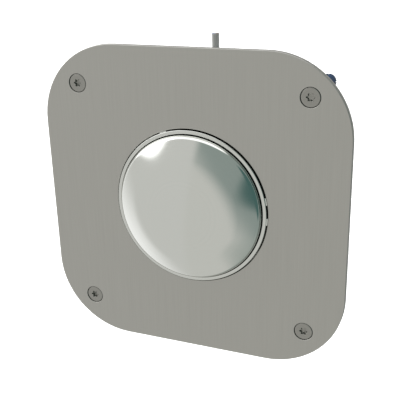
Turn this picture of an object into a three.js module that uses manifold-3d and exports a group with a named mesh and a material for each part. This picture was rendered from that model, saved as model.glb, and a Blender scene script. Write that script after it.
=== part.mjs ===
// Pedestrian push button on a square stainless plate, in millimetres.
// +Z is up, the button faces -Y, and the origin is the centre of the plate's back face.
// Front pieces lie at negative y and the mechanism behind the plate at positive y.

import * as THREE from "three";
import { mergeVertices } from "three/addons/utils/BufferGeometryUtils.js";
import Module from "manifold-3d";

// Clearances shared by all pieces
const FIT_GAP = 0.3;
const SLIDING_GAP = 0.25;
const RUNNING_GAP = 0.1;
const CUT_OVERRUN = 1;
const MERGE_DISTANCE = 0.0001;

// Face plate
const PLATE_CORNER_RADIUS = 31.6;
const PLATE_THICKNESS = 2.5;
const PLATE_EDGE_BREAK = 0.25;

// Countersunk security screws that fix the plate to the wall
const SCREW_INSET = 15.7;
const SCREW_SHANK_RADIUS = 2;
const SCREW_HEAD_RADIUS = 4.1;
const SCREW_HEAD_RIM = 0.2;
const SCREW_SINK = 0.1;
const SCREW_LENGTH = 30;
const SCREW_TIP_LENGTH = 4;
const RECESS_RADIUS = 1.95;
const RECESS_DEPTH = 1.3;

// Wall plugs on the screws
const PLUG_RADIUS = 3;
const PLUG_LENGTH = 25;
const PLUG_RIM_RADIUS = 3.6;
const PLUG_RIM_LENGTH = 0.8;
const PLUG_TOOTH_DEPTH = 0.35;
const PLUG_SLIT_WIDTH = 1;
const PLUG_SLIT_LENGTH = 15;

// Gasket between plate and wall, a frame round the flange that stops short of the plate's edge
const GASKET_INSET = 3;
const GASKET_WIDTH = 11.5;
const GASKET_THICKNESS = 2;
const GASKET_FLANGE_ROOM = 2;

// Button cap, a domed shell with a central boss
const CAP_RADIUS = 29.9;
const CAP_KNUCKLE_RADIUS = 10;
const CAP_CROWN_RADIUS = 150;
const CAP_SHOULDER_SINK = 0.4;
const CAP_WALL = 2.5;
const CAP_SKIRT_REAR = 10.5;
const CAP_REAR_CHAMFER = 0.4;
const CAP_BOSS_RADIUS = 9;
const CAP_BOSS_REAR = 1;
const CAP_SOCKET_DEPTH = 7;

// Wiper ring in a groove of the cap
const WIPER_SECTION_RADIUS = 0.8;
const WIPER_CENTRE = -1.2;
const WIPER_GAP = 0.15;

// Bezel ring with its sleeve and flange
const BEZEL_INNER_GAP = 0.45;
const BEZEL_WIDTH = 1.45;
const BEZEL_OUTER_GAP = 0.3;
const BEZEL_PROUD = 0.8;
const BEZEL_INNER_CHAMFER = 0.35;
const BEZEL_OUTER_CHAMFER = 0.2;
const FLANGE_MARGIN = 5;
const FLANGE_THICKNESS = 3;
const SLEEVE_WALL = 1.7;
const NIB_GAP = 0.05;
const NIB_SINK = 0.1;
const NIB_LENGTH = 1.8;
const NIB_ROOT = 0.5;

// Guide liner in the sleeve
const LINER_WALL = 1.75;
const LINER_FRONT = 3;
const LINER_LENGTH = 6.3;

// Flat seal between flange and plate
const SEAL_THICKNESS = 1;
const SEAL_INNER_ROOM = 1.2;

// Weld studs with spacer tubes and flange nuts
const STUD_RADIUS = 2;
const STUD_SLEEVE_ROOM = 7.1;
const STUD_TAIL = 1.4;
const STUD_CHAMFER = 0.4;
const SPACER_LENGTH = 11;
const SPACER_WALL = 1.7;
const NUT_ACROSS_FLATS = 7;
const NUT_HEIGHT = 3.4;
const NUT_FLANGE_RADIUS = 4.6;
const NUT_FLANGE_THICKNESS = 0.8;

// Rear spider, the four-armed plate that carries bush and switch
const SPIDER_THICKNESS = 3;
const SPIDER_HUB_RADIUS = 27;
const SPIDER_ARM_WIDTH = 11;
const SPIDER_FILLET_RADIUS = 4;
const SPIDER_RIM_WIDTH = 1.6;
const SPIDER_RIM_HEIGHT = 1.5;
const SPIDER_RIB_WIDTH = 2.2;
const SPIDER_RIB_HEIGHT = 2.5;

// Stem bush
const BUSH_WALL = 1.9;
const BUSH_FLANGE_RADIUS = 9;
const BUSH_FLANGE_THICKNESS = 2;
const BUSH_TAIL = 1;
const BUSH_CHAMFER = 0.4;

// Button stem with its stop washer and E-clip
const STEM_RADIUS = 4;
const STEM_GROOVE_RADIUS = 3;
const STEM_GROOVE_WIDTH = 1;
const STEM_NOSE_RADIUS = 2.2;
const STEM_NOSE_LENGTH = 0.9;
const STEM_NOSE_CROWN_RADIUS = 5;
const STEM_SHOULDER_LENGTH = 0.6;
const WASHER_RADIUS = 8;
const WASHER_THICKNESS = 1;
const WASHER_GAP = 0.2;
const CLIP_RADIUS = 6.15;
const CLIP_POCKET_RADIUS = 4.5;
const CLIP_THICKNESS = 0.8;

// Return spring
const SPRING_MEAN_RADIUS = 7.4;
const SPRING_WIRE_RADIUS = 0.6;
const SPRING_TURNS = 4.5;
const SPRING_END_TURNS = 0.75;
const SPRING_END_PITCH = 1.65;

// Travel of the button, and the lever that it swings
const TRAVEL = 3;
const LEVER_ARM = 16;
const LEVER_TAIL = 5;
const LEVER_THICKNESS = 0.6;
const LEVER_WIDTH = 4.6;
const LEVER_KNUCKLE_RADIUS = 1.4;
const LEVER_PIN_RADIUS = 0.6;
const PLUNGER_ARM = 5.5;

// Microswitch case and plunger
const SWITCH_LENGTH = 27.8;
const SWITCH_DEPTH = 15.9;
const SWITCH_WIDTH = 10.3;
const SWITCH_EDGE_BREAK = 0.4;
const SWITCH_CORNER_RADIUS = 1.2;
const SWITCH_LEVER_ROOM = 1.3;
const SWITCH_HOLE_INSET = 2.8;
const SWITCH_PIVOT_INSET = 2.5;
const EAR_THICKNESS = 1.8;
const EAR_RADIUS = 1.3;
const PLUNGER_RADIUS = 1.5;
const PLUNGER_CROWN_RADIUS = 3;
const PLUNGER_LENGTH = 5.2;
const PLUNGER_BORE_DEPTH = 4.6;

// Blade terminals and flag connectors
const BLADE_WIDTH = 4.8;
const BLADE_LENGTH = 6.4;
const BLADE_THICKNESS = 0.8;
const BLADE_TIP_CHAMFER = 1;
const BLADE_SPACING = 10;
const BLADE_INSET = 3.5;
const CONNECTOR_WIDTH = 4;
const CONNECTOR_HEIGHT = 6.6;
const CONNECTOR_DEPTH = 8;
const CONNECTOR_EDGE_BREAK = 0.6;

// Small machine screws: bracket, switch and clip
const SMALL_SHANK_RADIUS = 1.5;
const SMALL_HEAD_RADIUS = 2.75;
const SMALL_HEAD_HEIGHT = 2;
const SMALL_HEAD_CHAMFER = 0.5;
const SMALL_SLOT_WIDTH = 0.8;
const SMALL_SLOT_DEPTH = 0.9;
const SMALL_NUT_ACROSS_FLATS = 5.5;
const SMALL_NUT_HEIGHT = 2.4;
const SMALL_SCREW_TAIL = 1;

// Switch bracket, bent from sheet
const SHEET_THICKNESS = 1.5;
const BEND_RADIUS = 1;
const BRACKET_FOOT_LENGTH = 12.2;
const BRACKET_FOOT_LOW = -15.5;
const BRACKET_FOOT_HIGH = 11;
const BRACKET_FOOT_SCREW_INSET = 4;
const BRACKET_FOOT_SCREW_OFFSET = 8.1;
const BRACKET_CORNER_RADIUS = 2;
const BRACKET_RELIEF_GAP = 0.8;
const BRACKET_TAB_OVERLAP = 4;
const BRACKET_TAB_MARGIN = 3;

// Lead, its clip and cores
const LEAD_RADIUS = 1.5;
const LEAD_DEPTH = 28.5;
const LEAD_PROUD = 1;
const CORE_RADIUS = 0.65;
const CORE_SPACING = 1.5;
const CORE_HEADROOM = 5.9;
const CLAMP_SHEATH_TAIL = 1.5;
const CLAMP_WIDTH = 6;
const CLAMP_WALL = 1.1;
const CLAMP_FOOT_THICKNESS = 1.2;
const CLAMP_FOOT_LENGTH = 12.5;
const CLAMP_SCREW_DISTANCE = 6.4;

// How finely round shapes are cut
const RING_SIDES = 60;
const ROD_SIDES = 20;
const SCREW_SIDES = 12;
const PLUG_SIDES = 12;
const CORNER_STEPS = 12;
const KNUCKLE_STEPS = 8;
const CROWN_STEPS = 3;
const INNER_DOME_STEPS = 4;
const FILLET_STEPS = 3;
const WIRE_STEPS_PER_TURN = 8;
const WIRE_SIDES = 5;
const CORE_SIDES = 8;

// Places that several pieces share
const PLATE_FRONT = -PLATE_THICKNESS;
const BEZEL_BORE_RADIUS = CAP_RADIUS + BEZEL_INNER_GAP;
const BEZEL_RADIUS = BEZEL_BORE_RADIUS + BEZEL_WIDTH;
const PLATE_BORE_RADIUS = BEZEL_RADIUS + BEZEL_OUTER_GAP;
const LINER_BORE_RADIUS = CAP_RADIUS + SLIDING_GAP;
const LINER_RADIUS = LINER_BORE_RADIUS + LINER_WALL;
const SLEEVE_RADIUS = LINER_RADIUS + FIT_GAP + SLEEVE_WALL;
const LINER_REAR = LINER_FRONT + LINER_LENGTH;
const STUD_CIRCLE_RADIUS = SLEEVE_RADIUS + STUD_SLEEVE_ROOM;
const FLANGE_RADIUS = STUD_CIRCLE_RADIUS + FLANGE_MARGIN;
const GASKET_OPENING_RADIUS = FLANGE_RADIUS + GASKET_FLANGE_ROOM;
const PLATE_HALF_WIDTH = GASKET_OPENING_RADIUS + GASKET_WIDTH + GASKET_INSET;
const SCREW_OFFSET = PLATE_HALF_WIDTH - SCREW_INSET;
const FLANGE_REAR = SEAL_THICKNESS + FLANGE_THICKNESS;
const SPIDER_FRONT = FLANGE_REAR + SPACER_LENGTH;
const SPIDER_REAR = SPIDER_FRONT + SPIDER_THICKNESS;
const STUD_BORE_RADIUS = STUD_RADIUS + FIT_GAP;
const STUD_OFFSET = STUD_CIRCLE_RADIUS * Math.SQRT1_2;
const BUSH_BORE_RADIUS = STEM_RADIUS + RUNNING_GAP;
const BUSH_RADIUS = BUSH_BORE_RADIUS + BUSH_WALL;
const BUSH_REAR = SPIDER_REAR + BUSH_TAIL;
const WASHER_FRONT = BUSH_REAR + WASHER_GAP;
const WASHER_REAR = WASHER_FRONT + WASHER_THICKNESS;
const CLIP_FRONT = WASHER_REAR + WASHER_GAP;
const GROOVE_FRONT = CLIP_FRONT - (STEM_GROOVE_WIDTH - CLIP_THICKNESS) / 2;
const NOSE_TIP = GROOVE_FRONT + STEM_GROOVE_WIDTH + STEM_SHOULDER_LENGTH + STEM_NOSE_LENGTH;
const SMALL_BORE_RADIUS = SMALL_SHANK_RADIUS + FIT_GAP;
const GROOVE_FLOOR_RADIUS = BEZEL_BORE_RADIUS - 2 * WIPER_SECTION_RADIUS - 2 * WIPER_GAP;
const GROOVE_HALF_WIDTH = WIPER_SECTION_RADIUS + WIPER_GAP;
const SOCKET_FLOOR = CAP_BOSS_REAR - CAP_SOCKET_DEPTH;

// Lever at rest: it lies flat over the switch once the button is fully in,
// and leans towards the stem by the angle that the travel asks for when it is out.
const LEVER_FRONT_OFFSET = LEVER_KNUCKLE_RADIUS - LEVER_THICKNESS;
const LEVER_LIFT = TRAVEL - LEVER_FRONT_OFFSET;
const LEVER_REST_ANGLE =
  Math.atan2(LEVER_LIFT, LEVER_ARM) +
  Math.asin(LEVER_FRONT_OFFSET / Math.hypot(LEVER_LIFT, LEVER_ARM));
const PIVOT_Y = NOSE_TIP + FIT_GAP + LEVER_LIFT;
const PIVOT_Z = -LEVER_ARM;
const SWITCH_FRONT = PIVOT_Y + LEVER_KNUCKLE_RADIUS + SWITCH_LEVER_ROOM;
const SWITCH_REAR = SWITCH_FRONT + SWITCH_DEPTH;
const SWITCH_LOW = PIVOT_Z - SWITCH_PIVOT_INSET;
const SWITCH_TOP = SWITCH_LOW + SWITCH_LENGTH;
const PLUNGER_TIP =
  PIVOT_Y + LEVER_KNUCKLE_RADIUS / Math.cos(LEVER_REST_ANGLE) -
  PLUNGER_ARM * Math.tan(LEVER_REST_ANGLE) + FIT_GAP;
const SWITCH_HOLE_LOW = SWITCH_LOW + SWITCH_HOLE_INSET;
const SWITCH_HOLE_HIGH = SWITCH_TOP - SWITCH_HOLE_INSET;
const SWITCH_HOLE_FRONT = SWITCH_FRONT + SWITCH_HOLE_INSET;
const SWITCH_HOLE_REAR = SWITCH_REAR - SWITCH_HOLE_INSET;
const EAR_INNER = LEVER_WIDTH / 2 + FIT_GAP;
const CONNECTOR_FRONT = SWITCH_REAR + FIT_GAP;
const CORE_ENTRY_DEPTH = CONNECTOR_FRONT + CONNECTOR_DEPTH / 2;
const BRACKET_FACE = -SWITCH_WIDTH / 2;
const BRACKET_BACK = BRACKET_FACE - SHEET_THICKNESS;
const FOOT_SCREW_X = BRACKET_FACE - BRACKET_FOOT_SCREW_OFFSET;
const OPEN_CORE_END = bladeHeight(2) + CONNECTOR_HEIGHT / 2 + FIT_GAP;
const COMMON_CORE_END = bladeHeight(0) + CONNECTOR_HEIGHT / 2 + FIT_GAP;
const LEAD_STRIPPED_END = OPEN_CORE_END + CORE_HEADROOM;
const CLAMP_LOW = LEAD_STRIPPED_END + CLAMP_SHEATH_TAIL;
const CLAMP_MIDDLE = CLAMP_LOW + CLAMP_WIDTH / 2;
const BRACKET_TAB_LOW = BRACKET_FOOT_HIGH - BRACKET_TAB_OVERLAP;
const BRACKET_TAB_TOP = CLAMP_LOW + CLAMP_WIDTH + BRACKET_TAB_MARGIN;
const CLAMP_SCREW_DEPTH = LEAD_DEPTH + CLAMP_SCREW_DISTANCE;

// Finishes
const finish = {
  brushedSteel: new THREE.MeshStandardMaterial({ color: 0x9a9993, roughness: 0.42, metalness: 0.9 }),
  polishedSteel: new THREE.MeshStandardMaterial({ color: 0xc4c6c2, roughness: 0.12, metalness: 1 }),
  turnedSteel: new THREE.MeshStandardMaterial({ color: 0xa8a8a4, roughness: 0.3, metalness: 0.95 }),
  zincSteel: new THREE.MeshStandardMaterial({ color: 0xa7a79d, roughness: 0.38, metalness: 0.85 }),
  springSteel: new THREE.MeshStandardMaterial({ color: 0x8c8c88, roughness: 0.28, metalness: 0.95 }),
  brass: new THREE.MeshStandardMaterial({ color: 0xb89a55, roughness: 0.35, metalness: 0.9 }),
  blueNylon: new THREE.MeshStandardMaterial({ color: 0x07457a, roughness: 0.5, metalness: 0 }),
  blackNylon: new THREE.MeshStandardMaterial({ color: 0x1e2022, roughness: 0.6, metalness: 0 }),
  whiteAcetal: new THREE.MeshStandardMaterial({ color: 0xdcdad2, roughness: 0.45, metalness: 0 }),
  blackRubber: new THREE.MeshStandardMaterial({ color: 0x18191a, roughness: 0.85, metalness: 0 }),
  switchCase: new THREE.MeshStandardMaterial({ color: 0x2a2b2e, roughness: 0.5, metalness: 0 }),
  redPlunger: new THREE.MeshStandardMaterial({ color: 0x9c2b20, roughness: 0.45, metalness: 0 }),
  greySheath: new THREE.MeshStandardMaterial({ color: 0x858685, roughness: 0.6, metalness: 0 }),
  brownCore: new THREE.MeshStandardMaterial({ color: 0x5c3a22, roughness: 0.55, metalness: 0 }),
  blueCore: new THREE.MeshStandardMaterial({ color: 0x2a5da8, roughness: 0.55, metalness: 0 }),
  redSleeve: new THREE.MeshStandardMaterial({ color: 0xb03a34, roughness: 0.4, metalness: 0 }),
};

const wasm = await Module();
wasm.setup();

function toSolid(geometry) {
  const bare = geometry.clone();
  bare.deleteAttribute("normal");
  bare.deleteAttribute("uv");
  const merged = mergeVertices(bare, MERGE_DISTANCE);
  const vertProperties = merged.attributes.position.array;
  const triVerts = new Uint32Array(merged.index.array);
  return new wasm.Manifold(new wasm.Mesh({ numProp: 3, vertProperties, triVerts }));
}

function toGeometry(solid) {
  const mesh = solid.getMesh();
  const geometry = new THREE.BufferGeometry();
  geometry.setAttribute("position", new THREE.BufferAttribute(mesh.vertProperties, mesh.numProp));
  geometry.setIndex(new THREE.BufferAttribute(mesh.triVerts, 1));
  geometry.computeVertexNormals();
  return geometry;
}

// Adds the second list of geometries to the first one and then cuts the third list out of it.
function combined(base, added, cut) {
  let solid = toSolid(base);
  for (const geometry of added) solid = solid.add(toSolid(geometry));
  for (const geometry of cut) solid = solid.subtract(toSolid(geometry));
  return toGeometry(solid);
}

// A body of revolution about the y axis. Points are [radius, y]; a profile that
// starts or ends off the axis is closed on itself.
function turned(profile, sides) {
  const points = profile.map(([radius, y]) => new THREE.Vector2(radius, y));
  if (THREE.ShapeUtils.isClockWise(points)) points.reverse();
  const onAxis = points[0].x === 0 && points[points.length - 1].x === 0;
  if (!onAxis) points.push(points[0].clone());
  return new THREE.LatheGeometry(points, sides);
}

// Points on an arc, both ends included. Angles are in turns of a circle.
function arc(centreU, centreV, radius, from, to, steps) {
  const points = [];
  for (let i = 0; i <= steps; i++) {
    const angle = 2 * Math.PI * (from + ((to - from) * i) / steps);
    points.push([centreU + radius * Math.cos(angle), centreV + radius * Math.sin(angle)]);
  }
  return points;
}

function shapeOf(points) {
  return new THREE.Shape(points.map(([u, v]) => new THREE.Vector2(u, v)));
}

// A rectangle with round corners, given by its lowest and highest corner.
function roundedRectangle(lowU, lowV, highU, highV, radius, steps) {
  return [
    ...arc(highU - radius, highV - radius, radius, 0, 0.25, steps),
    ...arc(lowU + radius, highV - radius, radius, 0.25, 0.5, steps),
    ...arc(lowU + radius, lowV + radius, radius, 0.5, 0.75, steps),
    ...arc(highU - radius, lowV + radius, radius, 0.75, 1, steps),
  ];
}

function extruded(shape, depth, edgeBreak = 0) {
  return new THREE.ExtrudeGeometry(shape, {
    depth: depth - 2 * edgeBreak,
    steps: 1,
    bevelEnabled: edgeBreak > 0,
    bevelThickness: edgeBreak,
    bevelSize: edgeBreak,
    bevelOffset: -edgeBreak,
    bevelSegments: 1,
  }).translate(0, 0, edgeBreak);
}

// An outline drawn in x and z, given thickness along y from front to front + depth.
function slabAlongY(shape, front, depth, edgeBreak) {
  return extruded(shape, depth, edgeBreak).rotateX(Math.PI / 2).translate(0, front + depth, 0);
}

// An outline drawn in y and z, given thickness along x from left to left + depth.
function slabAlongX(shape, left, depth, edgeBreak) {
  const turn = new THREE.Matrix4().makeBasis(
    new THREE.Vector3(0, 1, 0),
    new THREE.Vector3(0, 0, 1),
    new THREE.Vector3(1, 0, 0),
  );
  return extruded(shape, depth, edgeBreak).applyMatrix4(turn).translate(left, 0, 0);
}

// A plain round bar along y or x, used as a piece and as a drill.
function barAlongY(radius, front, rear, sides) {
  return new THREE.CylinderGeometry(radius, radius, rear - front, sides)
    .translate(0, (front + rear) / 2, 0);
}

function barAlongX(radius, left, right, sides) {
  return new THREE.CylinderGeometry(radius, radius, right - left, sides)
    .rotateZ(-Math.PI / 2)
    .translate((left + right) / 2, 0, 0);
}

function block(lowX, lowY, lowZ, highX, highY, highZ) {
  return new THREE.BoxGeometry(highX - lowX, highY - lowY, highZ - lowZ)
    .translate((lowX + highX) / 2, (lowY + highY) / 2, (lowZ + highZ) / 2);
}

function piece(name, geometry, material) {
  const mesh = new THREE.Mesh(geometry, material);
  mesh.name = name;
  return mesh;
}

// The four places at plus and minus offset in x and z, upper right first and then round.
function corners(offset) {
  return [[offset, offset], [-offset, offset], [-offset, -offset], [offset, -offset]];
}

// One mesh at each of the four corners, numbered from 1.
function atCorners(name, geometry, material, offset) {
  return corners(offset).map(([x, z], index) => {
    const mesh = piece(`${name}_${index + 1}`, geometry, material);
    mesh.position.set(x, 0, z);
    return mesh;
  });
}

// A square outline about the axis with round corners.
function squareOutline(halfWidth, radius) {
  return roundedRectangle(-halfWidth, -halfWidth, halfWidth, halfWidth, radius, CORNER_STEPS);
}

// Drills of one radius along y at the four corners.
function cornerDrills(offset, radius, front, rear) {
  return corners(offset).map(([x, z]) =>
    barAlongY(radius, front, rear, SCREW_SIDES).translate(x, 0, z));
}

// Face plate: square sheet, round hole for the bezel ring, countersunk corner holes
function facePlate() {
  const sheet = slabAlongY(
    shapeOf(squareOutline(PLATE_HALF_WIDTH, PLATE_CORNER_RADIUS)),
    PLATE_FRONT, PLATE_THICKNESS, PLATE_EDGE_BREAK,
  );
  const bore = turned([
    [0, PLATE_FRONT - CUT_OVERRUN],
    [PLATE_BORE_RADIUS, PLATE_FRONT - CUT_OVERRUN],
    [PLATE_BORE_RADIUS, CUT_OVERRUN],
    [0, CUT_OVERRUN],
  ], RING_SIDES);
  const seatRadius = SCREW_HEAD_RADIUS + FIT_GAP;
  const holeRadius = SCREW_SHANK_RADIUS + FIT_GAP;
  const coneFront = PLATE_FRONT + SCREW_SINK + SCREW_HEAD_RIM + FIT_GAP * (Math.SQRT2 - 1);
  const countersink = turned([
    [0, PLATE_FRONT - CUT_OVERRUN],
    [seatRadius, PLATE_FRONT - CUT_OVERRUN],
    [seatRadius, coneFront],
    [holeRadius, coneFront + seatRadius - holeRadius],
    [holeRadius, CUT_OVERRUN],
    [0, CUT_OVERRUN],
  ], ROD_SIDES);
  const sinks = corners(SCREW_OFFSET).map(([x, z]) => countersink.clone().translate(x, 0, z));
  return piece("face_plate", combined(sheet, [], [bore, ...sinks]), finish.brushedSteel);
}

// Six-lobed recess of a security screw: the radius swells and narrows six times round
function recessOutline() {
  const lobes = 6;
  const stepsPerLobe = 4;
  const waveShare = 0.16;
  const points = [];
  for (let i = 0; i < lobes * stepsPerLobe; i++) {
    const angle = (2 * Math.PI * i) / (lobes * stepsPerLobe);
    const radius = RECESS_RADIUS * (1 - waveShare + waveShare * Math.cos(lobes * angle));
    points.push([radius * Math.cos(angle), radius * Math.sin(angle)]);
  }
  return points;
}

function fixingScrews() {
  const top = PLATE_FRONT + SCREW_SINK;
  const rim = top + SCREW_HEAD_RIM;
  const tip = PLATE_FRONT + SCREW_LENGTH;
  const pointShare = 0.2;
  const body = turned([
    [0, top],
    [SCREW_HEAD_RADIUS, top],
    [SCREW_HEAD_RADIUS, rim],
    [SCREW_SHANK_RADIUS, rim + SCREW_HEAD_RADIUS - SCREW_SHANK_RADIUS],
    [SCREW_SHANK_RADIUS, tip - SCREW_TIP_LENGTH],
    [SCREW_SHANK_RADIUS * pointShare, tip],
    [0, tip],
  ], ROD_SIDES);
  const recess = slabAlongY(shapeOf(recessOutline()), top - CUT_OVERRUN, RECESS_DEPTH + CUT_OVERRUN);
  return atCorners("fixing_screw", combined(body, [], [recess]), finish.turnedSteel, SCREW_OFFSET);
}

// Wall plugs: a toothed sleeve, split crosswise from its far end
function wallPlugs() {
  const front = GASKET_THICKNESS;
  const rear = front + PLUG_LENGTH;
  const boreRadius = SCREW_SHANK_RADIUS + FIT_GAP;
  const rootRadius = PLUG_RADIUS - PLUG_TOOTH_DEPTH;
  const teeth = 3;
  const toothedShare = 0.6;
  const toothPitch = (PLUG_LENGTH * toothedShare) / teeth;
  const profile = [
    [boreRadius, front],
    [PLUG_RIM_RADIUS, front],
    [PLUG_RIM_RADIUS, front + PLUG_RIM_LENGTH],
    [PLUG_RADIUS, front + PLUG_RIM_LENGTH],
  ];
  for (let i = teeth; i >= 1; i--) {
    profile.push([PLUG_RADIUS, rear - i * toothPitch]);
    profile.push([rootRadius, rear - i * toothPitch]);
  }
  profile.push([PLUG_RADIUS, rear - toothPitch / 2]);
  profile.push([PLUG_RADIUS, rear]);
  profile.push([boreRadius, rear]);
  const halfSlit = PLUG_SLIT_WIDTH / 2;
  const reach = PLUG_RIM_RADIUS + CUT_OVERRUN;
  const slitFront = rear - PLUG_SLIT_LENGTH;
  const slits = [
    block(-reach, slitFront, -halfSlit, reach, rear + CUT_OVERRUN, halfSlit),
    block(-halfSlit, slitFront, -reach, halfSlit, rear + CUT_OVERRUN, reach),
  ];
  const plug = combined(turned(profile, PLUG_SIDES), [], slits);
  return atCorners("wall_plug", plug, finish.blueNylon, SCREW_OFFSET);
}

function plateGasket() {
  const sheet = slabAlongY(
    shapeOf(squareOutline(PLATE_HALF_WIDTH - GASKET_INSET, PLATE_CORNER_RADIUS - GASKET_INSET)),
    0, GASKET_THICKNESS,
  );
  const opening = barAlongY(
    GASKET_OPENING_RADIUS, -CUT_OVERRUN, GASKET_THICKNESS + CUT_OVERRUN, RING_SIDES,
  );
  const drills = cornerDrills(
    SCREW_OFFSET, SCREW_SHANK_RADIUS + FIT_GAP, -CUT_OVERRUN, GASKET_THICKNESS + CUT_OVERRUN,
  );
  return piece("plate_gasket", combined(sheet, [], [opening, ...drills]), finish.blackRubber);
}

// One small nib on the bezel ring that centres it in the plate's hole
function nib(middle) {
  const widthShare = 0.015;
  const steps = 3;
  const inner = BEZEL_RADIUS - NIB_ROOT;
  const outer = PLATE_BORE_RADIUS - NIB_GAP;
  const from = middle - widthShare / 2;
  const to = middle + widthShare / 2;
  const outline = [
    ...arc(0, 0, outer, from, to, steps),
    ...arc(0, 0, inner, to, from, steps),
  ];
  return slabAlongY(shapeOf(outline), PLATE_FRONT + NIB_SINK, NIB_LENGTH);
}

// Bezel ring: thin proud ring in front, flange behind the plate, sleeve for the liner
function bezelRing() {
  const front = PLATE_FRONT - BEZEL_PROUD;
  const linerSeat = LINER_RADIUS + FIT_GAP;
  const body = turned([
    [BEZEL_BORE_RADIUS, front + BEZEL_INNER_CHAMFER],
    [BEZEL_BORE_RADIUS + BEZEL_INNER_CHAMFER, front],
    [BEZEL_RADIUS - BEZEL_OUTER_CHAMFER, front],
    [BEZEL_RADIUS, front + BEZEL_OUTER_CHAMFER],
    [BEZEL_RADIUS, SEAL_THICKNESS],
    [FLANGE_RADIUS, SEAL_THICKNESS],
    [FLANGE_RADIUS, FLANGE_REAR],
    [SLEEVE_RADIUS, FLANGE_REAR],
    [SLEEVE_RADIUS, LINER_REAR],
    [linerSeat, LINER_REAR],
    [linerSeat, LINER_FRONT - FIT_GAP],
    [BEZEL_BORE_RADIUS, LINER_FRONT - FIT_GAP],
  ], RING_SIDES);
  const nibPlaceShares = [0.2993, 0.0296, -0.0035];
  const drills = cornerDrills(
    STUD_OFFSET, STUD_BORE_RADIUS, SEAL_THICKNESS - CUT_OVERRUN, FLANGE_REAR + CUT_OVERRUN,
  );
  return piece("bezel_ring", combined(body, nibPlaceShares.map(nib), drills), finish.polishedSteel);
}

function guideLiner() {
  const chamfer = SLIDING_GAP;
  const profile = [
    [LINER_BORE_RADIUS + chamfer, LINER_FRONT],
    [LINER_RADIUS, LINER_FRONT],
    [LINER_RADIUS, LINER_REAR],
    [LINER_BORE_RADIUS + chamfer, LINER_REAR],
    [LINER_BORE_RADIUS, LINER_REAR - chamfer],
    [LINER_BORE_RADIUS, LINER_FRONT + chamfer],
  ];
  return piece("guide_liner", turned(profile, RING_SIDES), finish.whiteAcetal);
}

function flangeSeal() {
  const innerRadius = PLATE_BORE_RADIUS + SEAL_INNER_ROOM;
  const ring = turned([
    [innerRadius, 0],
    [FLANGE_RADIUS, 0],
    [FLANGE_RADIUS, SEAL_THICKNESS],
    [innerRadius, SEAL_THICKNESS],
  ], RING_SIDES);
  const drills = cornerDrills(
    STUD_OFFSET, STUD_BORE_RADIUS, -CUT_OVERRUN, SEAL_THICKNESS + CUT_OVERRUN,
  );
  return piece("flange_seal", combined(ring, [], drills), finish.blackRubber);
}

function weldStuds() {
  const rear = SPIDER_REAR + NUT_HEIGHT + STUD_TAIL;
  const stud = turned([
    [0, 0],
    [STUD_RADIUS, 0],
    [STUD_RADIUS, rear - STUD_CHAMFER],
    [STUD_RADIUS - STUD_CHAMFER, rear],
    [0, rear],
  ], SCREW_SIDES);
  return atCorners("weld_stud", stud, finish.turnedSteel, STUD_OFFSET);
}

function spacerTubes() {
  const tube = turned([
    [STUD_BORE_RADIUS, FLANGE_REAR],
    [STUD_BORE_RADIUS + SPACER_WALL, FLANGE_REAR],
    [STUD_BORE_RADIUS + SPACER_WALL, SPIDER_FRONT],
    [STUD_BORE_RADIUS, SPIDER_FRONT],
  ], SCREW_SIDES);
  return atCorners("spacer_tube", tube, finish.zincSteel, STUD_OFFSET);
}

// A hexagon outline from its width across flats.
function hexagon(acrossFlats) {
  return arc(0, 0, acrossFlats / Math.sqrt(3), 0, 5 / 6, 5);
}

function flangeNuts() {
  const body = slabAlongY(shapeOf(hexagon(NUT_ACROSS_FLATS)), SPIDER_REAR, NUT_HEIGHT);
  const foot = barAlongY(NUT_FLANGE_RADIUS, SPIDER_REAR, SPIDER_REAR + NUT_FLANGE_THICKNESS, SCREW_SIDES);
  const drill = barAlongY(
    STUD_BORE_RADIUS, SPIDER_REAR - CUT_OVERRUN, SPIDER_REAR + NUT_HEIGHT + CUT_OVERRUN, SCREW_SIDES,
  );
  return atCorners("flange_nut", combined(body, [foot], [drill]), finish.zincSteel, STUD_OFFSET);
}

// One arm of the spider along +x, with a round end about the stud
function spiderArm() {
  const half = SPIDER_ARM_WIDTH / 2;
  const endSteps = 8;
  const outline = [
    [0, -half],
    ...arc(STUD_CIRCLE_RADIUS, 0, half, -0.25, 0.25, endSteps),
    [0, half],
  ];
  return slabAlongY(shapeOf(outline), SPIDER_FRONT, SPIDER_THICKNESS);
}

// The rib on the arm's rear face, from the hub's rim to the nut
function spiderRib() {
  const start = SPIDER_HUB_RADIUS - SPIDER_RIM_WIDTH / 2;
  const end = STUD_CIRCLE_RADIUS - NUT_FLANGE_RADIUS - FIT_GAP;
  return block(
    start, SPIDER_REAR - SPIDER_THICKNESS / 2, -SPIDER_RIB_WIDTH / 2,
    end, SPIDER_REAR + SPIDER_RIB_HEIGHT, SPIDER_RIB_WIDTH / 2,
  );
}

// Fillet between an arm and the hub, drawn on the arm's upper side and mirrored to the lower
function spiderFillet(side) {
  const half = SPIDER_ARM_WIDTH / 2;
  const centreV = half + SPIDER_FILLET_RADIUS;
  const centreU = Math.sqrt((SPIDER_HUB_RADIUS + SPIDER_FILLET_RADIUS) ** 2 - centreV ** 2);
  const hubTurn = Math.atan2(-centreV, -centreU) / (2 * Math.PI) + 1;
  const curve = arc(centreU, centreV, SPIDER_FILLET_RADIUS, hubTurn, 0.75, FILLET_STEPS);
  const root = SPIDER_HUB_RADIUS / 2;
  const outline = [[root, 0], ...curve.toReversed(), [root, root]];
  const points = outline.map(([u, v]) => [u, side * v]);
  return slabAlongY(shapeOf(points), SPIDER_FRONT, SPIDER_THICKNESS);
}

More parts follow.
